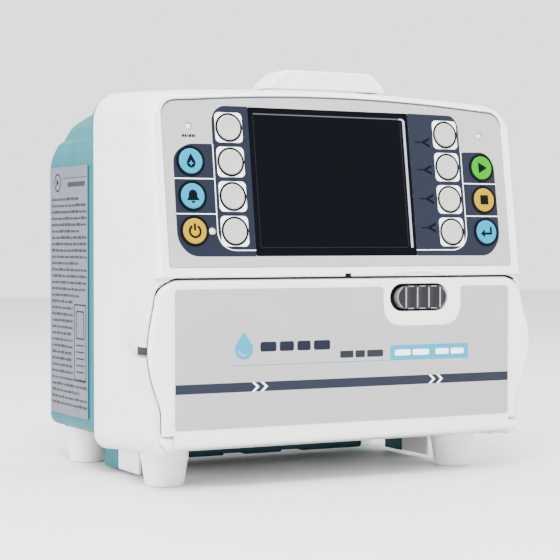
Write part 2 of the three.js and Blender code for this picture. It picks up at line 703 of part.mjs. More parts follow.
function finger() {
  return block([-3.1, 3.1], [-71.9, SHAFT_Y - CAM_RADIUS - CAM_THROW - 0.4], [TUBE_Z - 4.6, TUBE_Z + 4.6]);
}

function camshaft() {
  const shaft = barX(2.8, -47, 55, SHAFT_Y, TUBE_Z, 16);
  const cams = [];
  for (let i = 0; i < FINGER_COUNT; i += 1) {
    const phase = i * 2 * Math.PI / FINGER_COUNT;
    const x = fingerX(i);
    cams.push(barX(
      CAM_RADIUS, x - CAM_WIDTH / 2, x + CAM_WIDTH / 2,
      SHAFT_Y + CAM_THROW * Math.cos(phase), TUBE_Z + CAM_THROW * Math.sin(phase), 18));
  }
  return join(shaft, ...cams);
}

function bearing(x0, x1) {
  const ring = barX(6.4, x0, x1, SHAFT_Y, TUBE_Z, 20);
  return cut(ring, barX(3.15, x0 - 1, x1 + 1, SHAFT_Y, TUBE_Z, 16));
}

// A spur gear about X, with straight-sided teeth and one tooth centred on the given angle.
function gear(teeth, x0, x1, y, z, firstTooth) {
  const pitch = teeth * GEAR_MODULE / 2;
  const step = 2 * Math.PI / teeth;
  const corners = [[-0.29, -1.15], [-0.13, 0.9], [0.13, 0.9], [0.29, -1.15]];
  const points = [];
  for (let tooth = 0; tooth < teeth; tooth += 1) {
    corners.forEach(([share, height]) => {
      const angle = firstTooth + (tooth + share) * step;
      const radius = pitch + height * GEAR_MODULE;
      points.push([y + radius * Math.cos(angle), z + radius * Math.sin(angle)]);
    });
  }
  return plateYZ(polygon(points), x0, x1);
}

function camGear() {
  const wheel = gear(GEAR_TEETH, GEAR_X, GEAR_X + GEAR_WIDTH, SHAFT_Y, TUBE_Z, 0);
  return cut(wheel, barX(2.8 + GAP, GEAR_X - 1, GEAR_X + GEAR_WIDTH + 1, SHAFT_Y, TUBE_Z, 16));
}

function motorPinion() {
  const halfTooth = Math.PI / PINION_TEETH;
  const wheel = gear(PINION_TEETH, GEAR_X, GEAR_X + GEAR_WIDTH, MOTOR_Y, TUBE_Z, Math.PI + halfTooth);
  return join(wheel, barX(2, 40.6, GEAR_X + GEAR_WIDTH + 2, MOTOR_Y, TUBE_Z, 12));
}

function stepperMotor() {
  const half = 13.6;
  const side = roundedRect([MOTOR_Y - half, MOTOR_Y + half], [TUBE_Z - half, TUBE_Z + half], 3);
  const body = plateYZ(side, 12, 42.3, 2);
  return cut(body, barX(2.6, 40, 45, MOTOR_Y, TUBE_Z, 12));
}

// The inlet's socket opens to the rear and holds three flat contact pins.
function mainsInlet() {
  const body = block([-74, -46], [66, REAR_Y - 0.2], [45, 65]);
  const socket = block([-71.5, -48.5], [72, REAR_Y + 2], [47.4, 62.6]);
  const pins = [[-67, 57.6], [-60, 60], [-53, 57.6]].map(([x, z]) =>
    block([x - 1, x + 1], [71, REAR_Y - 4], [z - 2, z + 2]));
  return join(cut(body, socket), ...pins);
}

function pressurePlate() {
  return block([-37, 37], [-80.6, -77.9], [69, 83]);
}

// ---------------------------------------------------------------- assembly

const pump = new THREE.Group();
const panel = new THREE.Group();
panel.position.set(0, FRONT_Y, PANEL_Z);
panel.rotation.x = Math.PI / 2 - PANEL_TILT;
pump.add(panel);

function add(parent, name, geometry, look, [x, y, z] = [0, 0, 0]) {
  const mesh = new THREE.Mesh(geometry, new THREE.MeshStandardMaterial(look));
  mesh.name = name;
  mesh.position.set(x, y, z);
  parent.add(mesh);
}

add(pump, 'front_case', frontCase(), WHITE);
add(pump, 'rear_case', rearCase(), TEAL);
add(pump, 'carry_handle', grip(), WHITE);
add(pump, 'foot_front_left', frontFoot(), WHITE, [-FOOT_X, FRONT_FOOT_Y, 0]);
add(pump, 'foot_front_right', frontFoot(), WHITE, [FOOT_X, FRONT_FOOT_Y, 0]);
add(pump, 'foot_rear_left', foot(REAR_BOTTOM - GAP), WHITE, [-FOOT_X, REAR_FOOT_Y, 0]);
add(pump, 'foot_rear_right', foot(REAR_BOTTOM - GAP), WHITE, [FOOT_X, REAR_FOOT_Y, 0]);
add(pump, 'side_label', block([-REAR_HALF - 0.8, -REAR_HALF - GAP], [22.3, 80], [31, 180]), LABEL_GREY);

add(panel, 'panel_overlay', panelOverlay(), PANEL_GREY);
add(panel, 'display_window', displayWindow(), BLACK);
add(panel, 'display_module', displayModule(), DARK);
add(panel, 'keypad_board', keypadBoard(), BOARD);
keys.forEach(({ name, x, row, look }) => add(panel, name, keyCap(), look, [x, keyHeight(row), 0]));
indicators.forEach(({ name, x, y }) => add(panel, name, indicatorLens(), LENS, [x, y, -OVERLAY_SINK]));

add(pump, 'door_shell', doorShell(), WHITE);
add(pump, 'door_liner', doorLiner(), WHITE);
add(pump, 'door_overlay', doorOverlay(), PANEL_GREY);
add(pump, 'hinge_rod', barX(HINGE_ROD, -114.8, 114.8, HINGE_Y, HINGE_Z, 12), STEEL);
add(pump, 'latch_knob', latchKnob(), VIOLET_GREY);
add(pump, 'latch_hook', latchHook(), STEEL);
add(pump, 'latch_spring', spring(22.6, 31.2, 2, 0.4, 4, -77.8, 106), STEEL);
add(pump, 'pressure_plate', pressurePlate(), DARK);
add(pump, 'plate_spring', plateSpring(), STEEL);

add(pump, 'pump_frame', pumpFrame(), ALUMINIUM);
add(pump, 'camshaft', camshaft(), STEEL);
add(pump, 'bearing_left', bearing(-45.9, -42.9), STEEL);
add(pump, 'bearing_right', bearing(42.9, 45.9), STEEL);
add(pump, 'cam_gear', camGear(), WHITE);
add(pump, 'motor_pinion', motorPinion(), STEEL);
add(pump, 'stepper_motor', stepperMotor(), DARK);
for (let i = 0; i < FINGER_COUNT; i += 1) {
  add(pump, `finger_${i + 1}`, finger(), WHITE, [fingerX(i), 0, 0]);
}
add(pump, 'air_bubble_sensor', block([60, 72], [BAY_Y, -60], [68, 84]), DARK);
add(pump, 'pressure_sensor', block([-72, -60], [BAY_Y, -60], [68, 84]), DARK);

add(pump, 'main_board', block([-85, 85], [0, 1.6], [100, 195]), BOARD);
add(pump, 'power_supply', block([-100, -20], [26, 70], [80, 140]), ALUMINIUM);
add(pump, 'battery_pack', block([-65, 65], [23, 56], [9, 42]), DARK);
add(pump, 'mains_inlet', mainsInlet(), BLACK);

export default pump;
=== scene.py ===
"""Infusion pump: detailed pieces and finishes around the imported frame.

Shapes are drawn in millimetres; build() and film() bring them to metres. The front faces -Y and +Z is up.
"""
import math

import bmesh
import bpy
from mathutils import Matrix, Vector


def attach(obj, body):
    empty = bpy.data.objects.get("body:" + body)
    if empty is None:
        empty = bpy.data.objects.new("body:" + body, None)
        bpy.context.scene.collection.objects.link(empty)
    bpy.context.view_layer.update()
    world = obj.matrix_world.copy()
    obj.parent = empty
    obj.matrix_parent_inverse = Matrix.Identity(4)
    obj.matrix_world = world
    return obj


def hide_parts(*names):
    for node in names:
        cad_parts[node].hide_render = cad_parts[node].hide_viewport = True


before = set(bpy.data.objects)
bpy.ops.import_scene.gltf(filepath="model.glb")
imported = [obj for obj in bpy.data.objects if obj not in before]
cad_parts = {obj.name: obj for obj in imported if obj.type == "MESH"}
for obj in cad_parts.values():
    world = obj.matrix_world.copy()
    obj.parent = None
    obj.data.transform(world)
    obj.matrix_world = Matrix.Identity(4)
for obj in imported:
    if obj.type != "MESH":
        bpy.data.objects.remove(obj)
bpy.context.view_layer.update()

scene = bpy.context.scene
MM = 0.001

# ------------ driving sizes, in millimetres

TILT = math.radians(8)  # lean of the panel
PANEL_Y, PANEL_Z = -88, 117  # lower edge of the panel
DOOR_FACE = -87.2
SIDE_FACE = -115.2
REAR_FACE = 93
PARTING = 15  # where the front case meets the rear case

WALL = 3
CASE_HALF = 114.7  # half width and underside at the parting
CASE_FLOOR = 14.3
SIDE_DRAFT, FLOOR_RISE, ROOF_FALL = 0.05, 0.08, 0.05
CROWN = 227.6  # top of the case at the parting
CASE_ARCH, PANEL_ARCH = 2700, 2120  # twice the radius of each arch
PANEL_DEPTH = 103  # from the parting to the panel
EDGE_DEPTH, EDGE_INSET = 18, 4  # the rounded edge round the panel
REAR_HALF = 114.9
REAR_ROUND = 6

CORNER_X, CORNER_Z, CORNER_R = 105, 102, 14  # the door's upper corners
HINGE_Y, HINGE_Z = -82.4, 27.4
HINGE_BORE = 1.8
LUG_RADIUS = 4.3
LUG_INNER, LUG_OUTER = 108.9, 115.4
SLOT_LOW, SLOT_HIGH = 74.2, 80  # the tube slots

LATCH_Z = 104.4
RECESS_X, RECESS_HALF, RECESS_TALL = 46.2, 19.4, 7.9
KNOB_X, KNOB_HALF, KNOB_TALL = 48.4, 16.8, 6.6
KNOB_FRONT, KNOB_BACK = -87.8, -82.8
RIB_PITCH = 7.7

SOFT_X, COLOUR_X = 70.6, 94.8  # columns and rows of the keys on the panel
ROW_PITCH = 19.2
ROWS = [25.5 + ROW_PITCH * row for row in range(4)]
KEY_HOLE = 7.7
CAP_RADIUS = 7.05
LAMP_HOLE = 2.2
VIEW = (-58.3, 45.6, 11.7, 95.0)  # the display window on the panel

SCREWS = [(x, z) for z in (42, 178) for x in (-97, 97)]
FOOT_X = 96.3
FEET_ROWS = (("front", -46, 24), ("rear", 73.5, 22.2))
FINGERS = 8

WORLD = Matrix.Identity(4)
PANEL = Matrix.Translation((0, PANEL_Y, PANEL_Z)) @ Matrix.Rotation(math.pi / 2 - TILT, 4, "X")
DOOR = Matrix.Translation((0, DOOR_FACE, 0)) @ Matrix.Rotation(math.pi / 2, 4, "X")
SIDE = Matrix(((0, 0, -1, SIDE_FACE), (-1, 0, 0, 0), (0, 1, 0, 0), (0, 0, 0, 1)))

# ------------ finishes

NOISE_LOW, NOISE_HIGH = 0.3, 0.7
TONE_SCALE, GLOSS_SCALE = 28, 85
GLOSS_SPREAD = 0.06
GRAIN_DEPTH = 0.05 * MM
COAT_ROUGHNESS = 0.12


def srgb(code):
    """Linear colour of a six-digit screen colour."""
    parts = [int(code[i:i + 2], 16) / 255 for i in (0, 2, 4)]
    return [p / 12.92 if p <= 0.04045 else ((p + 0.055) / 1.055) ** 2.4 for p in parts]


def plastic(name, code, rough=0.42, grain=0.25, grain_size=0.5, tone=0.05, metal=0.0, coat=0.0,
            streak=None, specular=0.5):
    """A procedural finish: fine moulded grain, slow tone changes and uneven gloss."""
    mat = bpy.data.materials.new(name)
    mat.use_nodes = True
    nodes, links = mat.node_tree.nodes, mat.node_tree.links
    shader = nodes["Principled BSDF"]
    shader.inputs["Metallic"].default_value = metal
    shader.inputs["Specular IOR Level"].default_value = specular
    shader.inputs["Coat Weight"].default_value = coat
    shader.inputs["Coat Roughness"].default_value = COAT_ROUGHNESS
    place = nodes.new("ShaderNodeTexCoord")
    source = place.outputs["Object"]
    if streak:
        mapping = nodes.new("ShaderNodeMapping")
        mapping.inputs["Scale"].default_value = streak
        links.new(source, mapping.inputs["Vector"])
        source = mapping.outputs["Vector"]

    def noise(scale, detail):
        node = nodes.new("ShaderNodeTexNoise")
        node.inputs["Scale"].default_value = scale
        node.inputs["Detail"].default_value = detail
        links.new(source, node.inputs["Vector"])
        return node.outputs["Fac"]

    color = srgb(code)
    ramp = nodes.new("ShaderNodeValToRGB")
    ramp.color_ramp.elements[0].position = NOISE_LOW
    ramp.color_ramp.elements[1].position = NOISE_HIGH
    ramp.color_ramp.elements[0].color = [c * (1 - tone) for c in color] + [1]
    ramp.color_ramp.elements[1].color = [min(c * (1 + tone / 2), 1) for c in color] + [1]
    links.new(noise(TONE_SCALE, 4), ramp.inputs["Fac"])
    links.new(ramp.outputs["Color"], shader.inputs["Base Color"])

    gloss = nodes.new("ShaderNodeMapRange")
    gloss.inputs["From Min"].default_value = NOISE_LOW
    gloss.inputs["From Max"].default_value = NOISE_HIGH
    gloss.inputs["To Min"].default_value = max(rough - GLOSS_SPREAD, 0.02)
    gloss.inputs["To Max"].default_value = rough + GLOSS_SPREAD
    links.new(noise(GLOSS_SCALE, 3), gloss.inputs["Value"])
    links.new(gloss.outputs["Result"], shader.inputs["Roughness"])

    if grain:
        bump = nodes.new("ShaderNodeBump")
        bump.inputs["Strength"].default_value = grain
        bump.inputs["Distance"].default_value = GRAIN_DEPTH
        links.new(noise(1 / (grain_size * MM), 2), bump.inputs["Height"])
        links.new(bump.outputs["Normal"], shader.inputs["Normal"])
    return mat


FILM_LOOK = {"rough": 0.5, "grain": 0.3, "grain_size": 0.3, "tone": 0.03, "specular": 0.3}
INK_LOOK = {"rough": 0.48, "grain": 0.3, "grain_size": 0.3}
COLOUR_KEY_LOOK = {"rough": 0.44, "grain": 0.3, "grain_size": 0.35, "tone": 0.06, "specular": 0.04}
FRAME_LOOK = {"rough": 0.3, "grain": 0.1, "tone": 0.12, "specular": 0.2}
MOULDED = {"grain": 0.5, "grain_size": 0.5}

WHITE = plastic("case_white", "e2e2e0", rough=0.34, grain=0.35, grain_size=0.45, tone=0.02)
TEAL = plastic("case_teal", "0e5f67", rough=0.42, tone=0.05, specular=0.12, **MOULDED)
PANEL_FILM = plastic("panel_film", "9d9d9c", **FILM_LOOK)
DOOR_FILM = plastic("door_film", "9a9a9a", **FILM_LOOK)
SIDE_FILM = plastic("side_film", "5b5f6c", rough=0.5, grain=0.25, grain_size=0.3, tone=0.06, specular=0.3)
NAVY = plastic("print_navy", "0f1524", tone=0.08, specular=0.15, **INK_LOOK)
STRIPE = plastic("print_stripe", "1c212d", tone=0.08, specular=0.15, **INK_LOOK)
PRINT_WHITE = plastic("print_white", "f6f8ff", tone=0.03, **INK_LOOK)
PRINT_BLACK = plastic("print_black", "07080e", rough=0.45, grain=0.2, grain_size=0.3, tone=0.2,
                      specular=0.04)
PRINT_CYAN = plastic("print_cyan", "0089a8", tone=0.05, specular=0.15, **INK_LOOK)
PRINT_GREY = plastic("print_grey", "1c1c23", rough=0.5, grain=0.2, grain_size=0.3, tone=0.15, specular=0.2)
KEY_GREY = plastic("key_grey", "a5a89f", rough=0.46, grain=0.3, grain_size=0.35, tone=0.04, specular=0.3)
KEY_BLUE = plastic("key_blue", "007d9b", **COLOUR_KEY_LOOK)
KEY_YELLOW = plastic("key_yellow", "987d00", **COLOUR_KEY_LOOK)
KEY_GREEN = plastic("key_green", "1f8a04", **COLOUR_KEY_LOOK)
WINDOW = plastic("window_dark", "04060a", rough=0.14, grain=0.03, grain_size=2.0, tone=0.15, specular=0.04)
# Used both for the frame line behind the display window and for the painted shadow along the top of the
# panel film's recess.
FRAME_LINE_AND_SHADOW = plastic("window_frame_line_and_recess_shadow", "3c414b", **FRAME_LOOK)
FRAME_EDGE = plastic("window_frame_edge", "8f949f", **FRAME_LOOK)
FRAME_DIM = plastic("window_frame_dim", "0a0d13", rough=0.3, grain=0.1, tone=0.2, specular=0.15)
LENS = plastic("lens_white", "cfcfce", rough=0.18, grain=0.05, tone=0.02, coat=0.4)
LATCH = plastic("latch_grey", "19161c", rough=0.36, grain=0.4, grain_size=0.4, tone=0.08, specular=0.25)
# A darker copy of the case teal: painted shade for the shadow under the case.
TEAL_SHADED = plastic("case_teal_painted_shade", "0b3a42", rough=0.45, tone=0.08, specular=0.25, **MOULDED)
# Black that paints shadow: the shade in the door's seam and in the latch's recess.
SHADOW_BLACK = plastic("painted_shadow_black", "08080a", rough=0.6, grain=0.3, grain_size=0.5, tone=0.2, specular=0.1)
# Pale grey that paints the highlights along the crests of the knob's ribs.
RIB_HIGHLIGHT = plastic("latch_rib_highlight", "8f8c96", rough=0.22, grain=0.1, grain_size=0.4, tone=0.05, coat=0.3)
# Dark grey that paints the shade inside the tube slots.
SLOT_SHADE = plastic("slot_painted_shade", "3c3c3b", rough=0.6, grain=0.4, grain_size=0.5, tone=0.1, specular=0.15)
# Light grey that paints the highlight on the knob's flank and edge.
RIM_HIGHLIGHT = plastic("latch_rim_highlight", "7f7d84", rough=0.3, grain=0.1, grain_size=0.4, tone=0.05, coat=0.2)
DARK = plastic("inner_dark", "24252b", rough=0.55, grain=0.5, grain_size=0.6, tone=0.15)
INLET = plastic("inlet_black", "141417", rough=0.5, grain=0.5, grain_size=0.6, tone=0.15)
ACETAL = plastic("acetal", "ece9e0", rough=0.38, grain=0.2, grain_size=0.8, tone=0.04)
BOARD = plastic("circuit_board", "1f6a3c", rough=0.4, grain=0.6, grain_size=1.2, tone=0.25)
STEEL = plastic("steel", "b9bcc0", rough=0.3, grain=0.3, tone=0.08, metal=1, streak=(1, 12, 12))
ALUMINIUM = plastic("aluminium", "c2c5c9", rough=0.42, grain=0.4, tone=0.08, metal=1, streak=(1, 8, 8))
RUBBER = plastic("foot_rubber", "bcbcba", rough=0.7, grain=0.6, grain_size=0.6, tone=0.1)

# ------------ outlines


def arc(x, y, radius, start, stop, steps):
    angles = [math.radians(start + (stop - start) * i / steps) for i in range(steps + 1)]
    return [(x + radius * math.cos(a), y + radius * math.sin(a)) for a in angles]


def circle(x, y, radius, steps=48):
    return arc(x, y, radius, 0, 360, steps)[:-1]


def rect(x0, x1, y0, y1):
    return [(x0, y0), (x1, y0), (x1, y1), (x0, y1)]


def rounded(x0, x1, y0, y1, r, steps=8):
    corners = ((x1 - r, y0 + r, -90), (x1 - r, y1 - r, 0), (x0 + r, y1 - r, 90), (x0 + r, y0 + r, 180))
    return [p for x, y, a in corners for p in arc(x, y, r, a, a + 90, steps)]


def eased(points, reach, steps=6):
    """The outline with each corner rounded over the given reach, one reach for all or one each."""
    out = []
    for i, (x, y) in enumerate(points):
        r = reach[i] if isinstance(reach, (list, tuple)) else reach
        corner = Vector((x, y))
        if r <= 0:
            out.append((x, y))
            continue
        before = corner + (Vector(points[i - 1]) - corner).normalized() * r
        after = corner + (Vector(points[(i + 1) % len(points)]) - corner).normalized() * r
        for k in range(steps + 1):
            t = k / steps
            p = before * (1 - t) ** 2 + corner * 2 * t * (1 - t) + after * t ** 2
            out.append((p.x, p.y))
    return out


def mirrored(half):
    return half + [(-x, z) for x, z in reversed(half) if abs(x) > 1e-6]


def smoothstep(v, low, high):
    t = min(max((v - low) / (high - low), 0), 1)
    return t * t * (3 - 2 * t)


# ------------ mesh helpers


def build(name, verts, faces, place=WORLD):
    mesh = bpy.data.meshes.new(name)
    mesh.from_pydata([tuple(v) for v in verts], [], faces)
    mesh.transform(Matrix.Scale(MM, 4) @ place)
    tidy = bmesh.new()
    tidy.from_mesh(mesh)
    bmesh.ops.recalc_face_normals(tidy, faces=tidy.faces)
    tidy.to_mesh(mesh)
    tidy.free()
    obj = bpy.data.objects.new(name, mesh)
    scene.collection.objects.link(obj)
    return obj


def loft(name, rings, place=WORLD):
    """A closed skin over rings of (x, y, z) points, every ring with the same number of points."""
    n = len(rings[0])
    faces = []
    for r in range(len(rings) - 1):
        for i in range(n):
            j = (i + 1) % n
            faces.append((r * n + i, r * n + j, (r + 1) * n + j, (r + 1) * n + i))
    faces.append(tuple(range(n)))
    faces.append(tuple(reversed(range((len(rings) - 1) * n, len(rings) * n))))
    return build(name, [p for ring in rings for p in ring], faces, place)


def prism_x(name, outline, x0, x1):
    """An outline of (y, z) points, thick along X."""
    return loft(name, [[(x, y, z) for y, z in outline] for x in (x0, x1)])


def prism_y(name, outline, y0, y1):
    """An outline of (x, z) points, thick along Y."""
    return loft(name, [[(x, y, z) for x, z in outline] for y in (y0, y1)])


def prism_z(name, outline, z0, z1, place=WORLD):
    return loft(name, [[(x, y, z) for x, y in outline] for z in (z0, z1)], place)


def block(name, xs, ys, zs):
    return prism_z(name, rect(*xs, *ys), *zs)


def bar_x(name, radius, x0, x1, y, z):
    return prism_x(name, circle(y, z, radius), x0, x1)


def lathe(name, profile, steps, place=WORLD):
    """A profile of (radius, height) points turned about the local Z axis, closed at both ends on it."""
    verts, rings, faces = [], [], []
    for r, z in profile:
        if r < 1e-6:
            rings.append([len(verts)])
            verts.append((0, 0, z))
        else:
            rings.append(list(range(len(verts), len(verts) + steps)))
            verts += [(r * math.cos(2 * math.pi * i / steps), r * math.sin(2 * math.pi * i / steps), z)
                      for i in range(steps)]
    for a, b in zip(rings, rings[1:]):
        for i in range(steps):
            j = (i + 1) % steps
            quad = [a[i % len(a)], a[j % len(a)], b[j % len(b)], b[i % len(b)]]
            faces.append(tuple(dict.fromkeys(quad)))
    return build(name, verts, faces, place)


def evaluated_mesh(obj):
    graph = bpy.context.evaluated_depsgraph_get()
    graph.update()
    return bpy.data.meshes.new_from_object(obj.evaluated_get(graph))


def apply_modifiers(obj):
    made = evaluated_mesh(obj)
    obj.modifiers.clear()
    obj.data = made
    return obj


def carve(obj, tools, operation="DIFFERENCE"):
    """Cuts the tools out of obj, or joins them on, and removes them."""
    for tool in tools:
        step = obj.modifiers.new("carve", "BOOLEAN")
        step.operation = operation
        step.solver = "EXACT"
        step.object = tool
    apply_modifiers(obj)
    for tool in tools:
        bpy.data.objects.remove(tool)
    return obj


def soften(obj, width, segments=2, angle=30):
    """Rounds the sharp edges."""
    step = obj.modifiers.new("soften", "BEVEL")
    step.width = width * MM
    step.segments = segments
    step.limit_method = "ANGLE"
    step.angle_limit = math.radians(angle)
    step.use_clamp_overlap = True
    return apply_modifiers(obj)


def shade(obj, angle=32):
    obj.data.shade_smooth()
    obj.data.set_sharp_from_angle(angle=math.radians(angle))
    step = obj.modifiers.new("normals", "WEIGHTED_NORMAL")
    step.keep_sharp = True
    return obj


def piece(obj, body, mat, nodes=(), angle=32):
    """Finishes one piece: shading, material, the body it rides on and what it stands for."""
    shade(obj, angle)
    obj.data.materials.clear()
    obj.data.materials.append(mat)
    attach(obj, body)
    if nodes:
        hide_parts(*nodes)
    return obj


WELD = 2e-6


def film(name, loops, z0, z1, place, body, mat, nodes=()):
    """A thin sheet over closed loops; a loop inside another is a hole."""
    curve = bpy.data.curves.new(name + "_outline", "CURVE")
    curve.dimensions = "2D"
    curve.fill_mode = "BOTH"
    for loop in loops:
        spline = curve.splines.new("POLY")
        spline.points.add(len(loop) - 1)
        for point, (x, y) in zip(spline.points, loop):
            point.co = (x, y, 0, 1)
        spline.use_cyclic_u = True
    curve.extrude = (z1 - z0) / 2
    drawn = bpy.data.objects.new(name + "_outline", curve)
    scene.collection.objects.link(drawn)
    mesh = evaluated_mesh(drawn)
    bpy.data.objects.remove(drawn)
    mesh.transform(Matrix.Scale(MM, 4) @ place @ Matrix.Translation((0, 0, (z0 + z1) / 2)))
    weld = bmesh.new()
    weld.from_mesh(mesh)
    bmesh.ops.remove_doubles(weld, verts=weld.verts, dist=WELD)
    bmesh.ops.recalc_face_normals(weld, faces=weld.faces)
    weld.to_mesh(mesh)
    weld.free()
    obj = bpy.data.objects.new(name, mesh)
    scene.collection.objects.link(obj)
    return piece(obj, body, mat, nodes)


def refined(node, body, mat, width):
    """A copy of a CAD node with its flat faces merged and its edges rounded, shown in its place.

    With width None the copy is left as it is, for a face with many openings in it.
    """
    obj = bpy.data.objects.new("fine_" + node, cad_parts[node].data.copy())
    scene.collection.objects.link(obj)
    if width is None:
        return piece(obj, body, mat, [node])
    work = bmesh.new()
    work.from_mesh(obj.data)
    bmesh.ops.remove_doubles(work, verts=work.verts, dist=1e-6)
    bmesh.ops.dissolve_limit(work, angle_limit=math.radians(0.5), verts=work.verts, edges=work.edges)
    work.to_mesh(obj.data)
    work.free()
    if width:
        soften(obj, width)
    return piece(obj, body, mat, [node])


# ------------ front case


def arch_drop(x):
    return x * x / PANEL_ARCH


def roof(x, forward):
    """Height of the top of the front case, arched across and falling towards the panel."""
    return CROWN - ROOF_FALL * forward - x * x / CASE_ARCH


def underside(forward):
    return CASE_FLOOR + FLOOR_RISE * forward


# Half width of the door and of the case round it, by height: both swell into ears beside the tube.
DOOR_EDGE = [
    (24, 114.8), (45, 114.8), (48, 115.6), (54, 118), (60, 120), (66, 121.5), (72, 122.5), (78, 122.8),
    (84, 122.3), (90, 121.4), (95, 120.5), (102, 119.1), (110, 119),
]
CASE_EDGE = [
    (20, 116.2), (42, 116.6), (48, 117.6), (54, 119.4), (60, 121.3), (66, 122.9), (72, 124), (78, 124.3),
    (84, 124), (90, 122.8), (98, 120.8), (107, 118.6), (125, 118.4),
]


def along(table, z):
    for (z0, x0), (z1, x1) in zip(table, table[1:]):
        if z <= z1:
            return x0 + (x1 - x0) * max(z - z0, 0) / (z1 - z0)
    return table[-1][1]


def eased_along(table, z):
    return sum(along(table, z + step) for step in (-3, -1.5, 0, 1.5, 3)) / 5


def door_half(z):
    return eased_along(DOOR_EDGE, z)


def right_extra(x, z):
    """How much further the right-hand ear stands out than the left one."""
    if x < 100:
        return 0
    below_top = 1 - smoothstep(z, 84, 100)
    return 0.8 * below_top + 1.4 * smoothstep(z, 50, 66) * below_top


def case_ring(forward, tilt=0.0, inset=0.0, shrink=0.0):
    """Outline of the front case at a distance ahead of the parting."""
    half = CASE_HALF + SIDE_DRAFT * min(forward, 86)
    bottom = underside(forward)
    flare_share = smoothstep(forward, 55, 95)

    def side(z):
        straight = half - inset * smoothstep(z, 110, 120)
        flare = max(eased_along(CASE_EDGE, z) - straight, 0) * (1 - smoothstep(z, 106, 118))
        return straight + flare * flare_share, z

    top_round, low_round = 17, 10
    corner = half - top_round
    shoulder = roof(corner, forward) - inset
    radius = top_round - inset
    right = arc(half - low_round, bottom + low_round, low_round, -90, 0, 10)
    right += [side(z) for z in range(36, 124, 3)]
    right += arc(corner, shoulder - radius, radius, 0, 90, 14)
    right += [(x, roof(x, forward) - inset) for x in range(90, -1, -10)]
    middle = 120
    ring = []
    for x, z in mirrored(right):
        x += right_extra(x, z) * flare_share
        x, z = x * (1 - shrink / 116), middle + (z - middle) * (1 - shrink / 106)
        ring.append((x, PARTING - forward + tilt * (z - PANEL_Z) * math.tan(TILT), z))
    return ring


def overlay_outline(grow=0.0):
    """The film on the panel: small lower corners, large upper ones and an arched top."""
    half, low, shoulder, crown = 110.6 + grow, 5.7 - grow, 97.6 + grow, 102.2 + grow
    low_round, top_round = 1.2, 9
    right = arc(half - low_round, low + low_round, low_round, -90, 0, 3)
    right += arc(half - top_round, shoulder - top_round, top_round, 0, 90, 10)
    right += [(x, crown - arch_drop(x)) for x in range(90, -1, -10)]
    return mirrored(right)


def view_outline(grow, radius, steps=8):
    x0, x1, y0, y1 = VIEW
    return rounded(x0 - grow, x1 + grow, y0 - grow, y1 + grow, radius, steps)


LAMPS = {"mains_indicator": (-COLOUR_X, ROWS[3]), "alarm_indicator": (COLOUR_X, ROWS[3]),
         "power_indicator": (-84.2, ROWS[0])}
SOFT_KEYS = {
    f"soft_key_{side}_{4 - row}": (x, ROWS[row], KEY_GREY, "key_grey")
    for row in range(4) for side, x in (("left", -SOFT_X), ("right", SOFT_X))
}
COLOUR_KEYS = {
    "key_bolus": (-COLOUR_X, ROWS[2], KEY_BLUE, "key_blue"),
    "key_silence": (-COLOUR_X, ROWS[1], KEY_BLUE, "key_blue"),
    "key_power": (-COLOUR_X, ROWS[0], KEY_YELLOW, "key_yellow"),
    "key_start": (COLOUR_X, ROWS[2], KEY_GREEN, "key_green"),
    "key_stop": (COLOUR_X, ROWS[1], KEY_YELLOW, "key_yellow"),
    "key_enter": (COLOUR_X, ROWS[0], KEY_BLUE, "key_blue"),
}
KEYS = {**SOFT_KEYS, **COLOUR_KEYS}
KEY_HOLES = [circle(x, y, KEY_HOLE) for x, y, _, _ in KEYS.values()]
LAMP_HOLES = [circle(x, y, LAMP_HOLE, 24) for x, y in LAMPS.values()]


def rear_outline(inset, steps=5):
    """The rear case, with a shoulder stepped in towards the roof."""
    half = REAR_HALF - inset
    corners = [
        (half, 182), (half - 1.6, 189.5), (half - 5.6, 197), (half - 9.3, 199.4),
        (half - 14.6 + inset * 0.2, 208.4 - inset * 0.4), (half - 28.4 + inset * 0.4, 217.4 - inset * 0.9),
        (45, 220.2 - inset), (0, 221.2 - inset),
    ]
    bottom, low_round = 22.5 + inset, 6
    low = arc(half - low_round, bottom + low_round, low_round, -90, 0, 8)
    reach = [0, 3.6, 3.4, 0.9, 0.9, 3.5, 5, 8, 0]
    return mirrored(low + eased([low[-1]] + corners, reach, steps)[1:])


def skirts(y0, y1, z0, z1):
    """The thin rails along both sides of the underside."""
    inner, outer = 97.2, 99.4
    rails = [block("skirt", sorted((side * inner, side * outer)), (y0, y1), (z0, z1)) for side in (-1, 1)]
    return [soften(rail, 0.8, 3) for rail in rails]


def cheek_front(z):
    return -83.2 - 3 * smoothstep(z, 108, 115)


def cheeks():
    """The thin corners of the case that wrap round the upper corners of the door."""
    outline = arc(CORNER_X, CORNER_Z, CORNER_R + 0.6, 24, 90, 16)
    outline += [(CORNER_X, 119), (113.6, 119), (116, 115.4), (117.6, 112.3), (118.6, 109.6)]
    made = []
    for side in (-1, 1):
        front = [(side * x, cheek_front(z), z) for x, z in outline]
        made.append(loft("cheek", [front, [(side * x, -79, z) for x, z in outline]]))
    return made


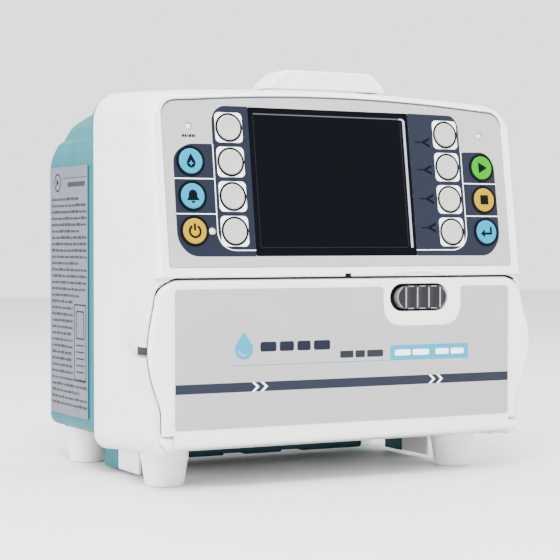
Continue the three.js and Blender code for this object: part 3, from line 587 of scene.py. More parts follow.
def seam_shadow_strips():
    """Painted shadow: black strips behind the upper edge of the door and down its sides, standing for the
    shade in the seam round the door.
    """
    wide, narrow = CORNER_R + 0.95, CORNER_R + 0.12
    strip = arc(CORNER_X, CORNER_Z, wide, 58, 90, 9) + arc(-CORNER_X, CORNER_Z, wide, 90, 154, 20)
    strip += arc(-CORNER_X, CORNER_Z, narrow, 154, 90, 20) + arc(CORNER_X, CORNER_Z, narrow, 90, 58, 9)
    top = loft("seam_shadow_top", [[(x, cheek_front(z) - 0.05, z) for x, z in strip],
                            [(x, -80.2, z) for x, z in strip]])
    piece(top, "case", SHADOW_BLACK)

    def side_edge(inset):
        straight = [(door_half(z) - inset, z) for z in range(33, CORNER_Z, 3)]
        return straight + arc(CORNER_X, CORNER_Z, CORNER_R - inset, 3, 48, 8)

    for side, name in ((-1, "seam_shadow_left"), (1, "seam_shadow_right")):
        placed = [(side * x, z) for x, z in side_edge(0.1) + side_edge(1.3)[::-1]]
        shadow_band = prism_y(name, [(x + right_extra(x, z), z) for x, z in placed], -83.95, -82.6)
        carve(shadow_band, [block("tube_gap", (-130, 130), (-86, -79), (SLOT_LOW - 0.2, SLOT_HIGH + 0.2))])
        piece(shadow_band, "case", SHADOW_BLACK)
    # Painted shadow in the notch above the door.
    piece(block("seam_shadow_notch", (-3.3, 0.8), (-86.9, -85), (116.8, 118.6)), "case", SHADOW_BLACK)


def front_skin():
    """The outside of the front case, from the parting to the panel."""
    rings = [case_ring(0, shrink=0.7), case_ring(0.2, shrink=0.3)]
    rings += [case_ring(f) for f in (0.8, 25, 50)]
    rings += [case_ring(f, tilt=smoothstep(f, 50, 85)) for f in range(55, 85, 5)]
    for degrees in range(0, 91, 9):
        a = math.radians(degrees)
        forward = PANEL_DEPTH - EDGE_DEPTH * (1 - math.sin(a))
        rings.append(case_ring(forward, 1, EDGE_INSET * (1 - math.cos(a))))
    return loft("front_shell", rings)


def cavity_ring(forward):
    half, low = CASE_HALF - WALL, underside(forward) + WALL
    top = roof(99.3, forward) - 4
    low_round, top_round = 7, 14
    right = arc(half - low_round, low + low_round, low_round, -90, 0, 4)
    right += arc(half - top_round, top - top_round, top_round, 0, 90, 6)
    return [(x, PARTING - forward, z) for x, z in mirrored(right)]


DECK = (-73, -66)
DECK_WAYS = {
    "pump_way": ((-46.8, 46.8), (59.4, 92.6)),
    "bubble_way": ((59.6, 72.4), (67.6, 84.4)),
    "pressure_way": ((-72.4, -59.6), (67.6, 84.4)),
    "keeper_way": ((55, 69), (101.5, 113)),
}
TUBE_GROOVE = [(135, -38), (116.2, -45), (113.2, -56), (112.6, -63), (110.5, -67), (110.5, -90), (135, -90)]


def front_openings():
    """Everything cut out of the front case: the room inside, the bay behind the door and the holes."""
    lip_front, lip_round, lip_top = -82.7, 1.2, 118.1
    lip = [(-140, -20), (lip_front, -20), (lip_front, 116.9)]
    lip += arc(-86.75, lip_top, lip_round, 270, 180, 5) + [(-140, lip_top)]
    seat = [[(x, y, z) for x, y in overlay_outline(grow)]
            for z, grow in ((-1.8, 0.3), (-0.5, 0.3), (-0.15, 0.5), (0.02, 0.95), (12, 0.95))]
    tools = [
        loft("room", [cavity_ring(WALL), cavity_ring(83)]),
        loft("mouth", [[(x, y, z) for x, z in rear_outline(WALL, 2)] for y in (17, 11)]),
        prism_z("behind_panel", rounded(-108.5, 108.5, 3, 98, 12), -28.3, -4.3, PANEL),
        block("bay", (-112.3, 112.3), (-140, -71), (-20, 116.9)),
        prism_x("ahead", lip, -150, 150),
        prism_x("chin", [(-52, 0), (-52, 18.2), (-75, 24.5), (-75, 0)], -108.5, 108.5),
        loft("seat", seat, PANEL),
        prism_z("view", view_outline(-2, 1), -15, 5, PANEL),
        block("notch", (-3.4, 0.9), (-120, -84), (115.6, 118.7)),
        prism_y("scoop", circle(45.8, 42.3, 77, 160), -95, -86.7),
    ]
    tools += [block(name, xs, DECK, zs) for name, (xs, zs) in DECK_WAYS.items()]
    tools += [prism_z("tube_slot", [(side * x, y) for x, y in TUBE_GROOVE], SLOT_LOW, SLOT_HIGH)
              for side in (-1, 1)]
    tools += [prism_z("key_hole", hole, -15, 5, PANEL) for hole in KEY_HOLES]
    tools += [prism_z("lamp_hole", hole, -15, 5, PANEL) for hole in LAMP_HOLES]
    return tools


def front_shell():
    shell = carve(front_skin(), front_openings())
    pocket_walls = block("pocket_walls", (-33.4, 33.4), (-58.4, -11.6), (204.6, 221))
    carve(shell, [pocket_walls] + skirts(-15.5, PARTING, 2, 20) + cheeks(), "UNION")
    carve(shell, [prism_z("pocket", rounded(-31, 31, -56, -14, 3), 207, 240)])
    piece(shell, "case", WHITE, ["front_case"])


def slot_shades():
    """Painted shade: a dark strip on the floor of each tube slot, standing for the shadow inside it."""
    floor = [(110.8, -67), (112.6, -63.2), (113.2, -56.2), (114.4, -51.6), (114.9, -51.8), (113.8, -56),
             (113.2, -63), (111.5, -67.3)]
    for side, name in ((-1, "slot_shade_left"), (1, "slot_shade_right")):
        shade_strip = prism_z(name, [(side * x, y) for x, y in floor], SLOT_LOW + 0.05, SLOT_HIGH - 0.05)
        piece(shade_strip, "case", SLOT_SHADE)


def hinge_bar(name, radius, reach):
    return bar_x(name, radius, -reach, reach, HINGE_Y, HINGE_Z)


def hinge_lugs():
    """The lugs of the case at the lower corners of the door, bored for the hinge rod."""
    web = [(HINGE_Y, HINGE_Z - LUG_RADIUS), (-69, 21.5), (-69, HINGE_Z + LUG_RADIUS),
           (HINGE_Y, HINGE_Z + LUG_RADIUS)]
    lugs = prism_x("lugs", web, -LUG_OUTER, LUG_OUTER)
    carve(lugs, [hinge_bar("barrel", LUG_RADIUS, LUG_OUTER)], "UNION")
    between = block("between", (-LUG_INNER, LUG_INNER), (-100, -60), (0, 50))
    outside = ((120, 15), (120, 30), (115.5, 28), (109, 22), (109, 15))
    bevels = [prism_y("bevel", [(side * x, z) for x, z in outside], -100, -60) for side in (-1, 1)]
    carve(lugs, [between, hinge_bar("bores", HINGE_BORE, 120)] + bevels)
    piece(lugs, "case", WHITE)


def battery_cover():
    profile = eased([(19, 5), (60, 5), (60, 26), (19, 26)], [2.5, 2.5, 0, 0])
    cover = soften(prism_x("battery_block", profile, -70, 70), 1.2, 3)
    thumb = [(17, 4), (30, 4), (30, 6.4), (17, 6.4)]
    notches = [prism_x("thumb", thumb, x - 8, x + 8) for x in (-20, 20)]
    carve(cover, notches + [block("battery_room", (-67.2, 67.2), (21.6, 57.4), (7.6, 40))])
    # The cover itself is real; its darker teal is painted shade for the shadow under the case.
    piece(cover, "case", TEAL_SHADED)


def rear_collar():
    """The teal rim that shows round the top of the front case."""
    low_end = 186

    def top_of(shrink):
        return [(x, z) for x, _, z in case_ring(0.8, shrink=shrink) if z > low_end]

    rim, inside = top_of(0.9), top_of(4)
    collar = soften(prism_y("rear_collar", rim + inside[::-1], PARTING + 0.3, 20.6), 0.7, 3, 50)
    piece(collar, "case", TEAL)


def rear_shell():
    def ring(y, inset):
        return [(x, y, z) for x, z in rear_outline(inset)]

    rings = []
    for degrees in range(90, -1, -10):
        a = math.radians(degrees)
        rings.append(ring(REAR_FACE - REAR_ROUND * (1 - math.sin(a)), REAR_ROUND * (1 - math.cos(a))))
    rings += [ring(50, 0), ring(PARTING + 0.8, 0), ring(PARTING + 0.3, 0.4)]
    shell = loft("rear_shell", rings)
    carve(shell, [loft("cavity", [ring(REAR_FACE - WALL, 5.4), ring(13.3, 3)])])
    carve(shell, skirts(PARTING + 0.3, 36, 1.6, 24), "UNION")
    beyond = REAR_FACE + 4
    wells = [prism_y("well", circle(x, z, 4.2, 32), REAR_FACE - 2.3, beyond) for x, z in SCREWS]
    carve(shell, wells + [
        block("battery_mouth", (-69, 69), (20, 59), (18, 40)),
        prism_y("inlet_way", rounded(-74.3, -45.7, 44.7, 65.3, 1.2), 82, beyond)])
    battery_cover()
    rear_collar()
    piece(shell, "case", TEAL, ["rear_case"])


def screws():
    """Pan-head screws in the wells of the back, each with a cross recess."""
    profile = [(0, 0), (3.1, 0), (3.1, 0.8), (2.6, 1.5), (1.6, 1.9), (0, 2)]
    for i, (x, z) in enumerate(SCREWS):
        place = Matrix.Translation((x, REAR_FACE - 2.2, z)) @ Matrix.Rotation(-math.pi / 2, 4, "X")
        head = lathe(f"screw_{i + 1}", profile, 32, place)
        arms = ((1.6, 0.35), (0.35, 1.6))
        carve(head, [prism_z("slot", rect(-a, a, -b, b), 0.9, 3, place) for a, b in arms])
        piece(head, "case", STEEL)


def grip():
    foot, shoulder, top = 219.5, 226, 234.4
    profile = eased([(-38, foot), (38, foot), (38, shoulder), (28.4, top), (-28.4, top), (-38, shoulder)],
                    [0, 0, 2.5, 3, 3, 2.5])
    bar = soften(prism_y("grip", profile, -62, -40), 1.6, 4, 50)
    seat = []
    for y in (-70, -30):
        arch = [(x, roof(x, PARTING - y) + 0.05) for x in range(60, -1, -5)]
        seat.append([(x, y, z) for x, z in mirrored([(60, 200)] + arch)])
    finger_room = eased([(-56, 205), (0, 205), (0, 228), (-56, 228)], [0, 0, 0, 3])
    carve(bar, [prism_x("under", finger_room, -31, 31), loft("seat", seat)])
    piece(bar, "case", WHITE, ["carry_handle"])


def feet():
    stem = 13.6
    profile = [(0, 0.9), (8.6, 0.9), (9, 0.4), (9.6, 0), (10.4, 0.15), (10.95, 0.7), (11.15, 1.6),
               (13.0, 13.4), (13.0, 13.9), (13.35, 14.3), (stem, 14.9)]
    pad_profile = [(0, 0), (8.2, 0), (8.5, 0.3), (8.5, 0.9), (0, 0.9)]
    reach = 16
    for side, x in (("left", -FOOT_X), ("right", FOOT_X)):
        for end, y, top in FEET_ROWS:
            name = f"foot_{end}_{side}"
            place = Matrix.Translation((x, y, 0))
            turned = lathe("fine_" + name, profile + [(stem, top), (0, top)], 64, place)
            if end == "front":
                front, back = y - reach, y + reach
                slope = [(front, underside(PARTING - front)), (back, underside(PARTING - back)), (back, 40),
                         (front, 40)]
                carve(turned, [prism_x("above", slope, x - reach, x + reach)])
            piece(turned, "case", WHITE, [name])
            piece(lathe(name + "_pad", pad_profile, 48, place), "case", RUBBER)


# ------------ panel


SHEET_LOW, SHEET_TOP = -1.5, -0.7
PRINT_LOW = -0.72       # printing straight on the film
OVERPRINT_LOW = -0.68   # printing on the navy


def panel_print(name, loops, top, mat, low=OVERPRINT_LOW):
    film(name, loops, low, top, PANEL, "case", mat)


def up(z):
    """Distance up the panel of a height above the table."""
    return (z - PANEL_Z) / math.cos(TILT)


def panel_sheet():
    loops = [overlay_outline(), view_outline(0.05, 0.85, 3)] + KEY_HOLES + LAMP_HOLES
    film("panel_sheet", loops, SHEET_LOW, SHEET_TOP, PANEL, "case", PANEL_FILM,
         ["panel_overlay"])
    # Painted shadow: a dark line along the top and upper corners of the film, where the recess shades it.
    rim = [p for p in overlay_outline(0.25) if p[1] > 84]
    rim += [(x * 0.9985, y - 0.85 * smoothstep(y, 84, 92)) for x, y in reversed(rim)]
    panel_print("recess_shadow_line", [rim], -0.6, FRAME_LINE_AND_SHADOW, PRINT_LOW)


def navy_fields():
    """The two navy fields, each with a step round its colour keys."""
    left = [(-58.35, up(211.4)), (-75.6, up(211.3)), (-80.7, up(206)), (-80.9, up(190)), (-96.5, up(189.8)),
            (-105, up(184)), (-105.2, up(152.8)), (-105.2, up(136)), (-97.4, up(128.5)), (-58.35, up(128.4))]
    right = [(45.65, up(128.5)), (96, up(128.4)), (104.1, up(137)), (104.1, up(151)), (103.9, up(183.4)),
             (97.8, up(189.7)), (80.4, up(189.2)), (80.1, up(206)), (76.6, up(210.9)), (45.65, up(211.2))]
    fields = (("navy_left", left, [0, 3.8, 3.8, 0.6, 4, 5, 0, 6, 5, 0], -1),
              ("navy_right", right, [0, 5, 6, 0, 5, 4, 0.6, 3, 3, 0], 1))
    for name, outline, reach, side in fields:
        holes = [circle(x, y, KEY_HOLE) for x, y, _, _ in KEYS.values() if x * side > 0]
        if side < 0:
            holes.append(circle(*LAMPS["power_indicator"], LAMP_HOLE, 24))
        panel_print(name, [eased(outline, reach, 8)] + holes, -0.66, NAVY, PRINT_LOW)


def key_surrounds():
    """White tiles behind the soft keys and a dark ring round every key."""
    inner, soft_outer, colour_outer = 7.15, 8.1, 8.35
    tiles, soft_rings, colour_rings = [], [], []
    for x, y, _, _ in SOFT_KEYS.values():
        tiles += [rounded(x - 8.3, x + 8.3, y - 8.4, y + 8.4, 2.6), circle(x, y, KEY_HOLE)]
        soft_rings += [circle(x, y, soft_outer), circle(x, y, inner)]
    for x, y, _, _ in COLOUR_KEYS.values():
        colour_rings += [circle(x, y, colour_outer), circle(x, y, inner)]
    panel_print("key_tiles", tiles, -0.62, PRINT_WHITE)
    panel_print("soft_rings", soft_rings, -0.2, PRINT_BLACK, -0.64)
    panel_print("colour_rings", colour_rings, -0.2, PRINT_BLACK)


def dividers():
    """White lines between the colour keys and round the lower corner of the soft keys."""
    lines, frames = [], []
    bends = [0, 5, 5, 0]
    for side, edge in ((-1, 58.35), (1, 45.65)):
        for z in (170.8, 151.6):
            lines.append(rect(*sorted((side * 80.9, side * 105)), up(z) - 0.27, up(z) + 0.27))
        outer = [(81.2, up(190)), (81.2, up(137.4)), (75.2, up(131.55)), (edge, up(131.55))]
        inner = [(edge, up(132.05)), (75.4, up(132.05)), (80.7, up(137.6)), (80.7, up(190))]
        frames.append([(side * x, y) for x, y in eased(outer, bends) + eased(inner, bends)])
    panel_print("divider_lines", lines, -0.625, PRINT_WHITE)
    panel_print("divider_frames", frames, -0.615, PRINT_WHITE)


def pointers():
    """Arrows from the right-hand soft keys to the display, and the greeked mark of the mains lamp."""
    arrows, stems = [], []
    for z in (194.5, 178.5, 161.5, 144.7):
        y = up(z)
        stems.append(rect(50, 55, y - 0.35, y + 0.35))
        arrows.append([(59.8, y + 1.5), (59.8, y + 3.1), (54.2, y + 0.35), (54.2, y - 0.35), (59.8, y - 3.1),
                       (59.8, y - 1.5), (56.6, y)])
    panel_print("pointer_marks", arrows, -0.61, PRINT_BLACK)
    panel_print("pointer_stems", stems, -0.62, PRINT_BLACK)
    strokes = ((-4.2, 1.3), (-2.6, 1.2), (-1.0, 0.5), (0.0, 1.4), (1.8, 1.2), (3.3, 0.6))
    supply = [rect(-COLOUR_X + dx, -COLOUR_X + dx + wide, up(193.4), up(194.9)) for dx, wide in strokes]
    panel_print("supply_mark", supply, -0.64, PRINT_BLACK, PRINT_LOW)


def display():
    """The dark window and the thin pale lines that show the frame behind it."""
    window = prism_z("window_sheet", view_outline(0, 0.8, 4), SHEET_LOW, -0.68, PANEL)
    piece(window, "case", WINDOW, ["display_window"])
    x0, x1, y0, y1 = VIEW
    top, low, left, right = y1 - 3.6, y0 + 4.6, x0 + 3.3, x1 - 2.9
    top_line = rounded(x0 + 3.2, right - 1.6, top - 0.35, top + 0.35, 0.3, 3)
    right_line = eased([(right - 0.7, low), (right + 0.8, low), (right + 0.8, top + 0.4),
                        (right - 3, top + 0.4), (right - 3, top - 0.4), (right - 0.7, top - 0.4)],
                       [0.3, 0.3, 2.6, 0, 0, 1.6])
    inner = [rect(right - 2.6, right - 2.1, low + 1, top - 2), rect(left - 0.4, left, low, top - 0.4),
             rect(left, right - 3, low, low + 0.4)]
    for name, loops, height, mat in (("frame_top", [top_line], -0.655, FRAME_LINE_AND_SHADOW),
                                     ("frame_right", [right_line], -0.65, FRAME_EDGE),
                                     ("frame_inner", inner, -0.66, FRAME_DIM)):
        film(name, loops, SHEET_TOP, height, PANEL, "case", mat)


def key_symbols():
    """Plain pictures for the colour keys, round the middle of each cap."""
    drop = [(0, 4.2)] + arc(0, -1.2, 2.6, 35, -215, 16)
    plus = [(-0.4, -2.6), (0.4, -2.6), (0.4, -1.6), (1.4, -1.6), (1.4, -0.8), (0.4, -0.8), (0.4, 0.2),
            (-0.4, 0.2), (-0.4, -0.8), (-1.4, -0.8), (-1.4, -1.6), (-0.4, -1.6)]
    bell = [(-3.6, -2.4), (3.6, -2.4), (3.6, -1.8), (2.6, -0.8)] + arc(0, 0.9, 2.5, 0, 180, 10)
    bell += [(-2.6, -0.8), (-3.6, -1.8)]
    clapper = arc(0, -2.9, 1.1, 180, 360, 8)
    power = arc(0, -0.2, 3.8, 60, -240, 30) + arc(0, -0.2, 2.6, -240, 60, 30)
    bar = rect(-0.6, 0.6, 0.4, 4.1)
    play = eased([(-2.4, -3.3), (3.6, 0), (-2.4, 3.3)], 0.5, 3)
    stop = rounded(-2.8, 2.8, -2.8, 2.8, 0.5, 3)
    enter = [(-4.2, -1), (-1.4, -3.4), (-1.4, -1.6), (3.6, -1.6), (3.6, 3), (2.4, 3), (2.4, -0.4),
             (-1.4, -0.4), (-1.4, 1.4)]
    return {"key_bolus": [drop, plus], "key_silence": [bell, clapper], "key_power": [power, bar],
            "key_start": [play], "key_stop": [stop], "key_enter": [enter]}


def key_caps():
    profile = [(0, 0), (2.5, 0.03), (4.6, 0.12), (5.6, 0.24), (6.1, 0.3), (6.5, 0.24), (6.8, 0.05),
               (6.98, -0.3), (CAP_RADIUS, -0.8), (CAP_RADIUS, -4.6), (8.2, -4.6), (8.2, -5.2), (0, -5.2)]
    for name, (x, y, mat, slot) in KEYS.items():
        cap = lathe("cap_" + name, profile, 64, PANEL @ Matrix.Translation((x, y, 0)))
        piece(cap, name, mat, [name])
    for name, loops in key_symbols().items():
        x, y, _, slot = KEYS[name]
        place = PANEL @ Matrix.Translation((x, y, 0))
        film("symbol_" + name, loops, -0.1, 0.16, place, name, PRINT_BLACK)


def lamps():
    profile = [(0, 0.1), (0.7, 0.06), (1.25, -0.08), (1.7, -0.4), (1.9, -0.9), (1.9, -4.6), (0, -4.6)]
    for name, (x, y) in LAMPS.items():
        lens = lathe("lens_" + name, profile, 32, PANEL @ Matrix.Translation((x, y, -0.62)))
        piece(lens, "case", LENS, [name])


# ------------ door


def door_ring(y, inset):
    low, low_round = 24.4 + inset, 5
    corner = CORNER_R - inset * 0.8
    half, high = CORNER_X + CORNER_R - inset, CORNER_Z + CORNER_R - inset
    right = arc(114.8 - inset - low_round, low + low_round, low_round, -90, 0, 8)
    right += [(door_half(z) - inset, z) for z in range(33, 100, 2)]
    right += arc(half - corner, high - corner, corner, 0, 90, 16)
    right += [(x, high) for x in (80, 40, 0)]
    return [(x + right_extra(x, z), y, z) for x, z in mirrored(right)]


def stadium(x, half, tall):
    """A long hole with round ends at the height of the latch."""
    return rounded(x - half, x + half, LATCH_Z - tall, LATCH_Z + tall, tall - 0.02, 14)


def recess(grow):
    return stadium(RECESS_X, RECESS_HALF + grow, RECESS_TALL + grow)


def stem_slot():
    return block("stem_slot", (39.6, 54.6), (-90, -70), (LATCH_Z - 3, LATCH_Z + 3))


def door_piece():
    edge_y, edge_round = -84.3, 2.9
    rings = [door_ring(-83.9, 0.4), door_ring(-84.05, 0.1), door_ring(edge_y, 0)]
    for degrees in range(10, 91, 10):
        a = math.radians(degrees)
        rings.append(door_ring(edge_y - edge_round * math.sin(a), edge_round * (1 - math.cos(a))))
    shell = loft("door_skin", rings)
    carve(shell, [prism_y("rim", rounded(-111.9, 111.9, 26, 115.2, 6), -85.2, -80.5)], "UNION")
    carve(shell, [prism_y("hollow", rounded(-111, 111, 33.4, 113.6, 5), -78, -84.8)])
    bar_end = LUG_INNER - 0.5
    hinge = soften(block("hinge_bar", (-bar_end, bar_end), (-86, -78.4), (25, 32)), 0.8, 3)
    carve(shell, [block("latch_boss", (21.5, 71), (-85.6, -80.4), (94.5, 114.6)), hinge], "UNION")
    steps = ((-82.4, 0), (-86.3, 0), (-86.85, 0.2), (-87.12, 0.6), (-87.25, 1.2), (-95, 1.2))
    tools = [loft("recess", [[(x, y, z) for x, z in recess(grow)] for y, grow in steps]), stem_slot(),
             hinge_bar("bore", HINGE_BORE, 120)]
    for side in (-1, 1):
        ends = sorted((side * (LUG_INNER - 0.4), side * 130))
        tools.append(block("lug_room", ends, (-95, -70), (10, 32.2)))
    carve(shell, tools)
    piece(shell, "door", WHITE, ["door_shell"])


def door_sheet():
    """The film on the door, with a bay cut out of its upper edge round the latch."""
    half, low, high, corner = 108, 34.8, 110.7, 2
    bay_left, bay_right, bay_low = 22, 74.5, 88.2
    edge = [(half - corner, low)] + arc(half - corner, low + corner, corner, -90, 0, 5)[1:]
    edge += arc(half - corner, high - corner, corner, 0, 90, 5) + [(bay_right + corner, high)]
    edge += arc(bay_right + corner, high - corner, corner, 90, 180, 4)[1:]
    bay = [(bay_right, 104), (bay_right, bay_low), (bay_left, bay_low), (bay_left, 104)]
    edge += eased(bay, [0, 13, 13, 0], 10)
    edge += arc(bay_left - corner, high - corner, corner, 0, 90, 4)
    edge += arc(corner - half, high - corner, corner, 90, 180, 5)
    edge += arc(corner - half, low + corner, corner, 180, 270, 5)
    film("door_sheet", [edge], 0.12, 0.4, DOOR, "door", DOOR_FILM, ["door_overlay"])


DOOR_PRINT_LOW = 0.36
DOOR_OVERPRINT_LOW = 0.4


def door_print(name, loops, top, mat, low=DOOR_PRINT_LOW):
    film(name, loops, low, top, DOOR, "door", mat)


def spans(ranges, y0, y1, r, steps):
    """A row of rounded bars, one for each range of x."""
    return [rounded(x0, x1, y0, y1, r, steps) for x0, x1 in ranges]


def door_graphics():
    low, high, wide, point = 54.3, 59.5, 1.7, 2.9

    def chevron(x):
        middle = (low + high) / 2
        return [(x, high), (x + wide, high), (x + point + wide, middle), (x + wide, low), (x, low),
                (x + point, middle)]

    door_print("flow_stripe", [rect(-108, 108, low, high)], 0.44, STRIPE)
    chevrons = [chevron(x) for x in (-62.2, -56.9, 52.2, 57.5)]
    door_print("flow_arrows", chevrons, 0.48, PRINT_WHITE, DOOR_OVERPRINT_LOW)

    x, y = -67, 77.6
    drop = [(x, 87.2)] + arc(x, y, 5.6, 32, -212, 24)
    gleam = arc(x, y, 3.7, 190, 290, 12) + arc(x, y, 2.7, 290, 190, 12)
    door_print("drop_mark", [drop, gleam], 0.46, PRINT_CYAN)
    bars = spans(((-57, -47), (-45, -36), (-34, -25.5), (-23.5, -13)), 76, 81.4, 1.2, 4)
    door_print("greeked_word", bars, 0.44, NAVY)
    small = spans(((-6.6, 2.0), (3.4, 9.6), (11, 21.6)), 71, 75, 0.6, 3)
    door_print("greeked_type", small, 0.44, PRINT_GREY)
    door_print("cyan_box", spans(((26.4, 79.6),), 68.5, 77.2, 0.8, 3), 0.44, PRINT_CYAN)
    words = spans(((29.5, 40), (41.5, 52.5), (57, 66), (67.5, 76.5)), 71.2, 74.5, 0.8, 3)
    door_print("cyan_box_words", words, 0.48, PRINT_WHITE, DOOR_OVERPRINT_LOW)
    door_print("thin_line", [rect(-75.6, 24.8, 68.5, 68.95)], 0.42, PRINT_CYAN)


def latch_recess_shade():
    """Painted shade: a black lining in the latch's recess, standing for the shadow inside it."""
    recess_shade = prism_y("latch_recess_shade", recess(-0.06), -86.3, -82.3)
    shifted = [(x + 0.05, z - 0.28) for x, z in recess(-0.3)]
    carve(recess_shade, [prism_y("inside", shifted, -95, -82.7), stem_slot()])
    piece(recess_shade, "door", SHADOW_BLACK)


def latch():
    """The sliding knob: hollow flutes between ribs with painted highlight strips on their crests, and a pale
    ring round the knob's edge that is a painted highlight.
    """
    latch_recess_shade()
    # Thin pale strips on the rib crests: painted highlights.
    crest_highlights = []
    for k in (-1.5, -0.5, 0.5, 1.5):
        x = KNOB_X + RIB_PITCH * k
        crest_highlight = block("crest_highlight", (x - 0.32, x + 0.42), (-88, -87), (LATCH_Z - 5.9, LATCH_Z + 5.9))
        crest_highlights.append(soften(crest_highlight, 0.1, 1))
    rib_highlights = carve(crest_highlights[0], crest_highlights[1:], "UNION")
    rib_highlights.name = "latch_rib_highlights"
    piece(rib_highlights, "latch", RIB_HIGHLIGHT)

    outline = stadium(KNOB_X, KNOB_HALF, KNOB_TALL)
    knob = soften(prism_y("fluted_knob", outline, KNOB_FRONT, KNOB_BACK), 0.7, 3, 50)
    centres = [KNOB_X + 0.05 + RIB_PITCH * k for k in (-2, -1, 0, 1, 2)]
    carve(knob, [prism_z("flute", circle(x, -94.1, 7.25, 64), 90, 120) for x in centres])
    stem = block("stem", (KNOB_X - 4, KNOB_X + 4), (-84, -79.6), (LATCH_Z - 2.6, LATCH_Z + 2.6))
    carve(knob, [stem], "UNION")
    piece(knob, "latch", LATCH, ["latch_knob"], angle=40)

    # A pale ring round the knob: painted highlight on its lit flank and edge.
    rim = [stadium(KNOB_X, KNOB_HALF + grow, KNOB_TALL + grow) for grow in (0.04, -0.5)]
    film("latch_rim_highlight", rim, -4.2, -0.1, DOOR, "latch", RIM_HIGHLIGHT)


# ------------ side label


def label_print(name, loops, top, mat):
    film(name, loops, 0.45, top, SIDE, "case", mat)


def greeked_lines():
    """Rows of short bars of uneven length in place of text."""
    left, right, pitch, gap = -82.6, -23.6, 3.9, 1.0
    words = []
    seed = 17
    for row in range(33):
        z = 161.5 - row * pitch
        x, end = left, right if row % 5 else -36.0
        if 16 <= row <= 27:
            end = -47
        while x < end - 2:
            seed = (seed * 75 + 74) % 65537
            wide = 2.2 + (seed % 61) / 10
            stop = min(x + wide, end)
            words.append(rect(x, stop, z, z + 1.35 + 0.2 * (seed % 3)))
            x = stop + gap
    return words


def side_label():
    sheet = prism_z("side_sheet", rounded(-85.4, -22, 31, 182, 1.6, 4), 0.25, 0.5, SIDE)
    piece(sheet, "case", SIDE_FILM, ["side_label"])
    x, y = -72.3, 172.6
    label_print("label_ring", [circle(x, y, 5.6, 40), circle(x, y, 4.7, 40)], 0.56, PRINT_BLACK)
    label_print("label_arrow", [[(x - 2, y - 2.4), (x + 2, y), (x - 2, y + 2.4)]], 0.56, PRINT_BLACK)
    rule = [rect(-64, -23.4, 174.8, 175.2), rect(-55, -26, 169.6, 172.4)]
    label_print("label_head", rule, 0.55, PRINT_GREY)
    label_print("greeked_lines", greeked_lines(), 0.54, PRINT_GREY)
    drawing = [rounded(-44.5, -24.5, 53, 99, 1.5, 4), rounded(-43.7, -25.3, 53.8, 98.2, 1.2, 4),
               rounded(-41, -28, 78, 95, 1, 3), rounded(-40.2, -28.8, 78.8, 94.2, 0.8, 3)]
    drawing += [rect(-41, -28, z, z + 0.7) for z in (58, 62, 66, 70, 74)]
    label_print("label_drawing", drawing, 0.55, PRINT_BLACK)


# ------------ the rest of the frame


def remaining():
    """Every other node as a rounded copy, by body: material, slot and width of the rounding."""
    steel, dark, board = (STEEL, "steel"), (DARK, "inner_dark"), (BOARD, "circuit_board")
    acetal, aluminium = (ACETAL, "mechanism_plastic"), (ALUMINIUM, "aluminium")
    looks = {
        "door": {"door_liner": (WHITE, "case_white", 0.4), "latch_spring": (*steel, 0),
                 "plate_spring": (*steel, 0)},
        "latch": {"latch_hook": (*steel, 0.3)},
        "platen": {"pressure_plate": (*dark, 0.6)},
        "cam": {"camshaft": (*steel, 0), "cam_gear": (*acetal, 0)},
        "pinion": {"motor_pinion": (*steel, 0)},
        "case": {"hinge_rod": (*steel, 0.3), "pump_frame": (*aluminium, None), "bearing_left": (*steel, 0.3),
                 "bearing_right": (*steel, 0.3), "stepper_motor": (*dark, 0.5),
                 "air_bubble_sensor": (*dark, 0.6), "pressure_sensor": (*dark, 0.6),
                 "battery_pack": (*dark, 1.0), "power_supply": (*aluminium, 0.6),
                 "main_board": (*board, 0.2), "keypad_board": (*board, 0.2),
                 "display_module": (DARK, "display_module", 0.3),
                 "mains_inlet": (INLET, "inlet_black", 0.4)},
    }
    for i in range(1, FINGERS + 1):
        looks[f"finger_{i}"] = {f"finger_{i}": (*acetal, 0.6)}
    for body, nodes in looks.items():
        for node, (mat, slot, width) in nodes.items():
            refined(node, body, mat, width)


front_shell()
slot_shades()
seam_shadow_strips()
hinge_lugs()
rear_shell()
screws()
grip()
feet()
panel_sheet()
navy_fields()
key_surrounds()
dividers()
pointers()
display()
key_caps()
lamps()
door_piece()
door_sheet()
door_graphics()
latch()
side_label()
remaining()

# ------------ floor, lights and camera


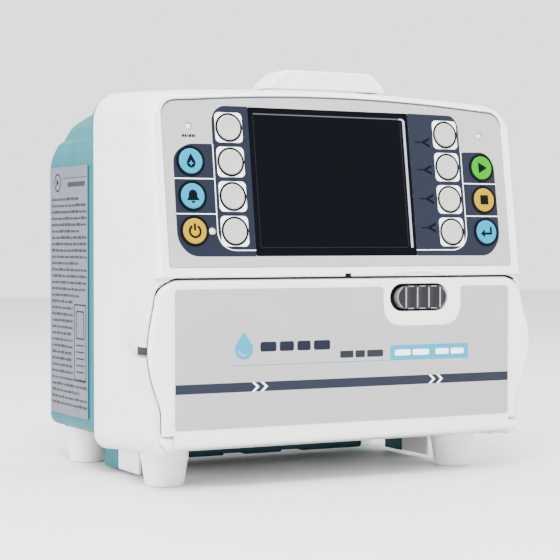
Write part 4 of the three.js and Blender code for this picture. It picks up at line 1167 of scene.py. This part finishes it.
FLOOR_HALF = 3000
DAYLIGHT = 2.1
AZIMUTH, ELEVATION = math.radians(-27.576), math.radians(1.294)
CAMERA_PLACE = (-0.47614, -0.91352, 0.13635)
FOCAL_LENGTH, SENSOR_WIDTH = 108.54, 36
CLIP_END = 50


def stage():
    corners = rect(-FLOOR_HALF, FLOOR_HALF, -FLOOR_HALF, FLOOR_HALF)
    floor = build("floor", [(x, y, 0) for x, y in corners], [(0, 1, 2, 3)])
    mat = plastic("floor_pale", "dcdcdc", rough=0.6, grain=0, tone=0.01)
    floor.data.materials.append(mat)
    world = bpy.data.worlds.new("studio")
    scene.world = world
    world.use_nodes = True
    world.node_tree.nodes["Background"].inputs["Color"].default_value = (1, 1, 1, 1)
    world.node_tree.nodes["Background"].inputs["Strength"].default_value = DAYLIGHT


def softbox(name, place, target, size, power):
    light = bpy.data.lights.new(name, "AREA")
    light.shape = "RECTANGLE"
    light.size, light.size_y = size
    light.energy = power
    lamp = bpy.data.objects.new(name, light)
    scene.collection.objects.link(lamp)
    lamp.location = place
    lamp.rotation_mode = "QUATERNION"
    lamp.rotation_quaternion = (Vector(target) - Vector(place)).to_track_quat("-Z", "Y")


def camera():
    back = Vector((math.sin(AZIMUTH) * math.cos(ELEVATION), -math.cos(AZIMUTH) * math.cos(ELEVATION),
                   math.sin(ELEVATION)))
    data = bpy.data.cameras.new("view")
    data.sensor_width = SENSOR_WIDTH
    data.lens = FOCAL_LENGTH
    data.clip_end = CLIP_END
    obj = bpy.data.objects.new("view", data)
    scene.collection.objects.link(obj)
    obj.rotation_mode = "QUATERNION"
    obj.rotation_quaternion = (-back).to_track_quat("-Z", "Y")
    obj.location = CAMERA_PLACE
    scene.camera = obj


stage()
softbox("key", (-0.8, -1.3, 1.7), (0, 0, 0.12), (0.9, 0.9), 105)
softbox("side", (-1.8, -0.2, 0.5), (0, 0, 0.12), (1.2, 1.0), 34)
softbox("fill", (1.3, -0.9, 0.7), (0, 0, 0.12), (0.8, 1.0), 14)
softbox("top", (0, 0.2, 1.5), (0, 0, 0.1), (1.4, 1.4), 26)
camera()
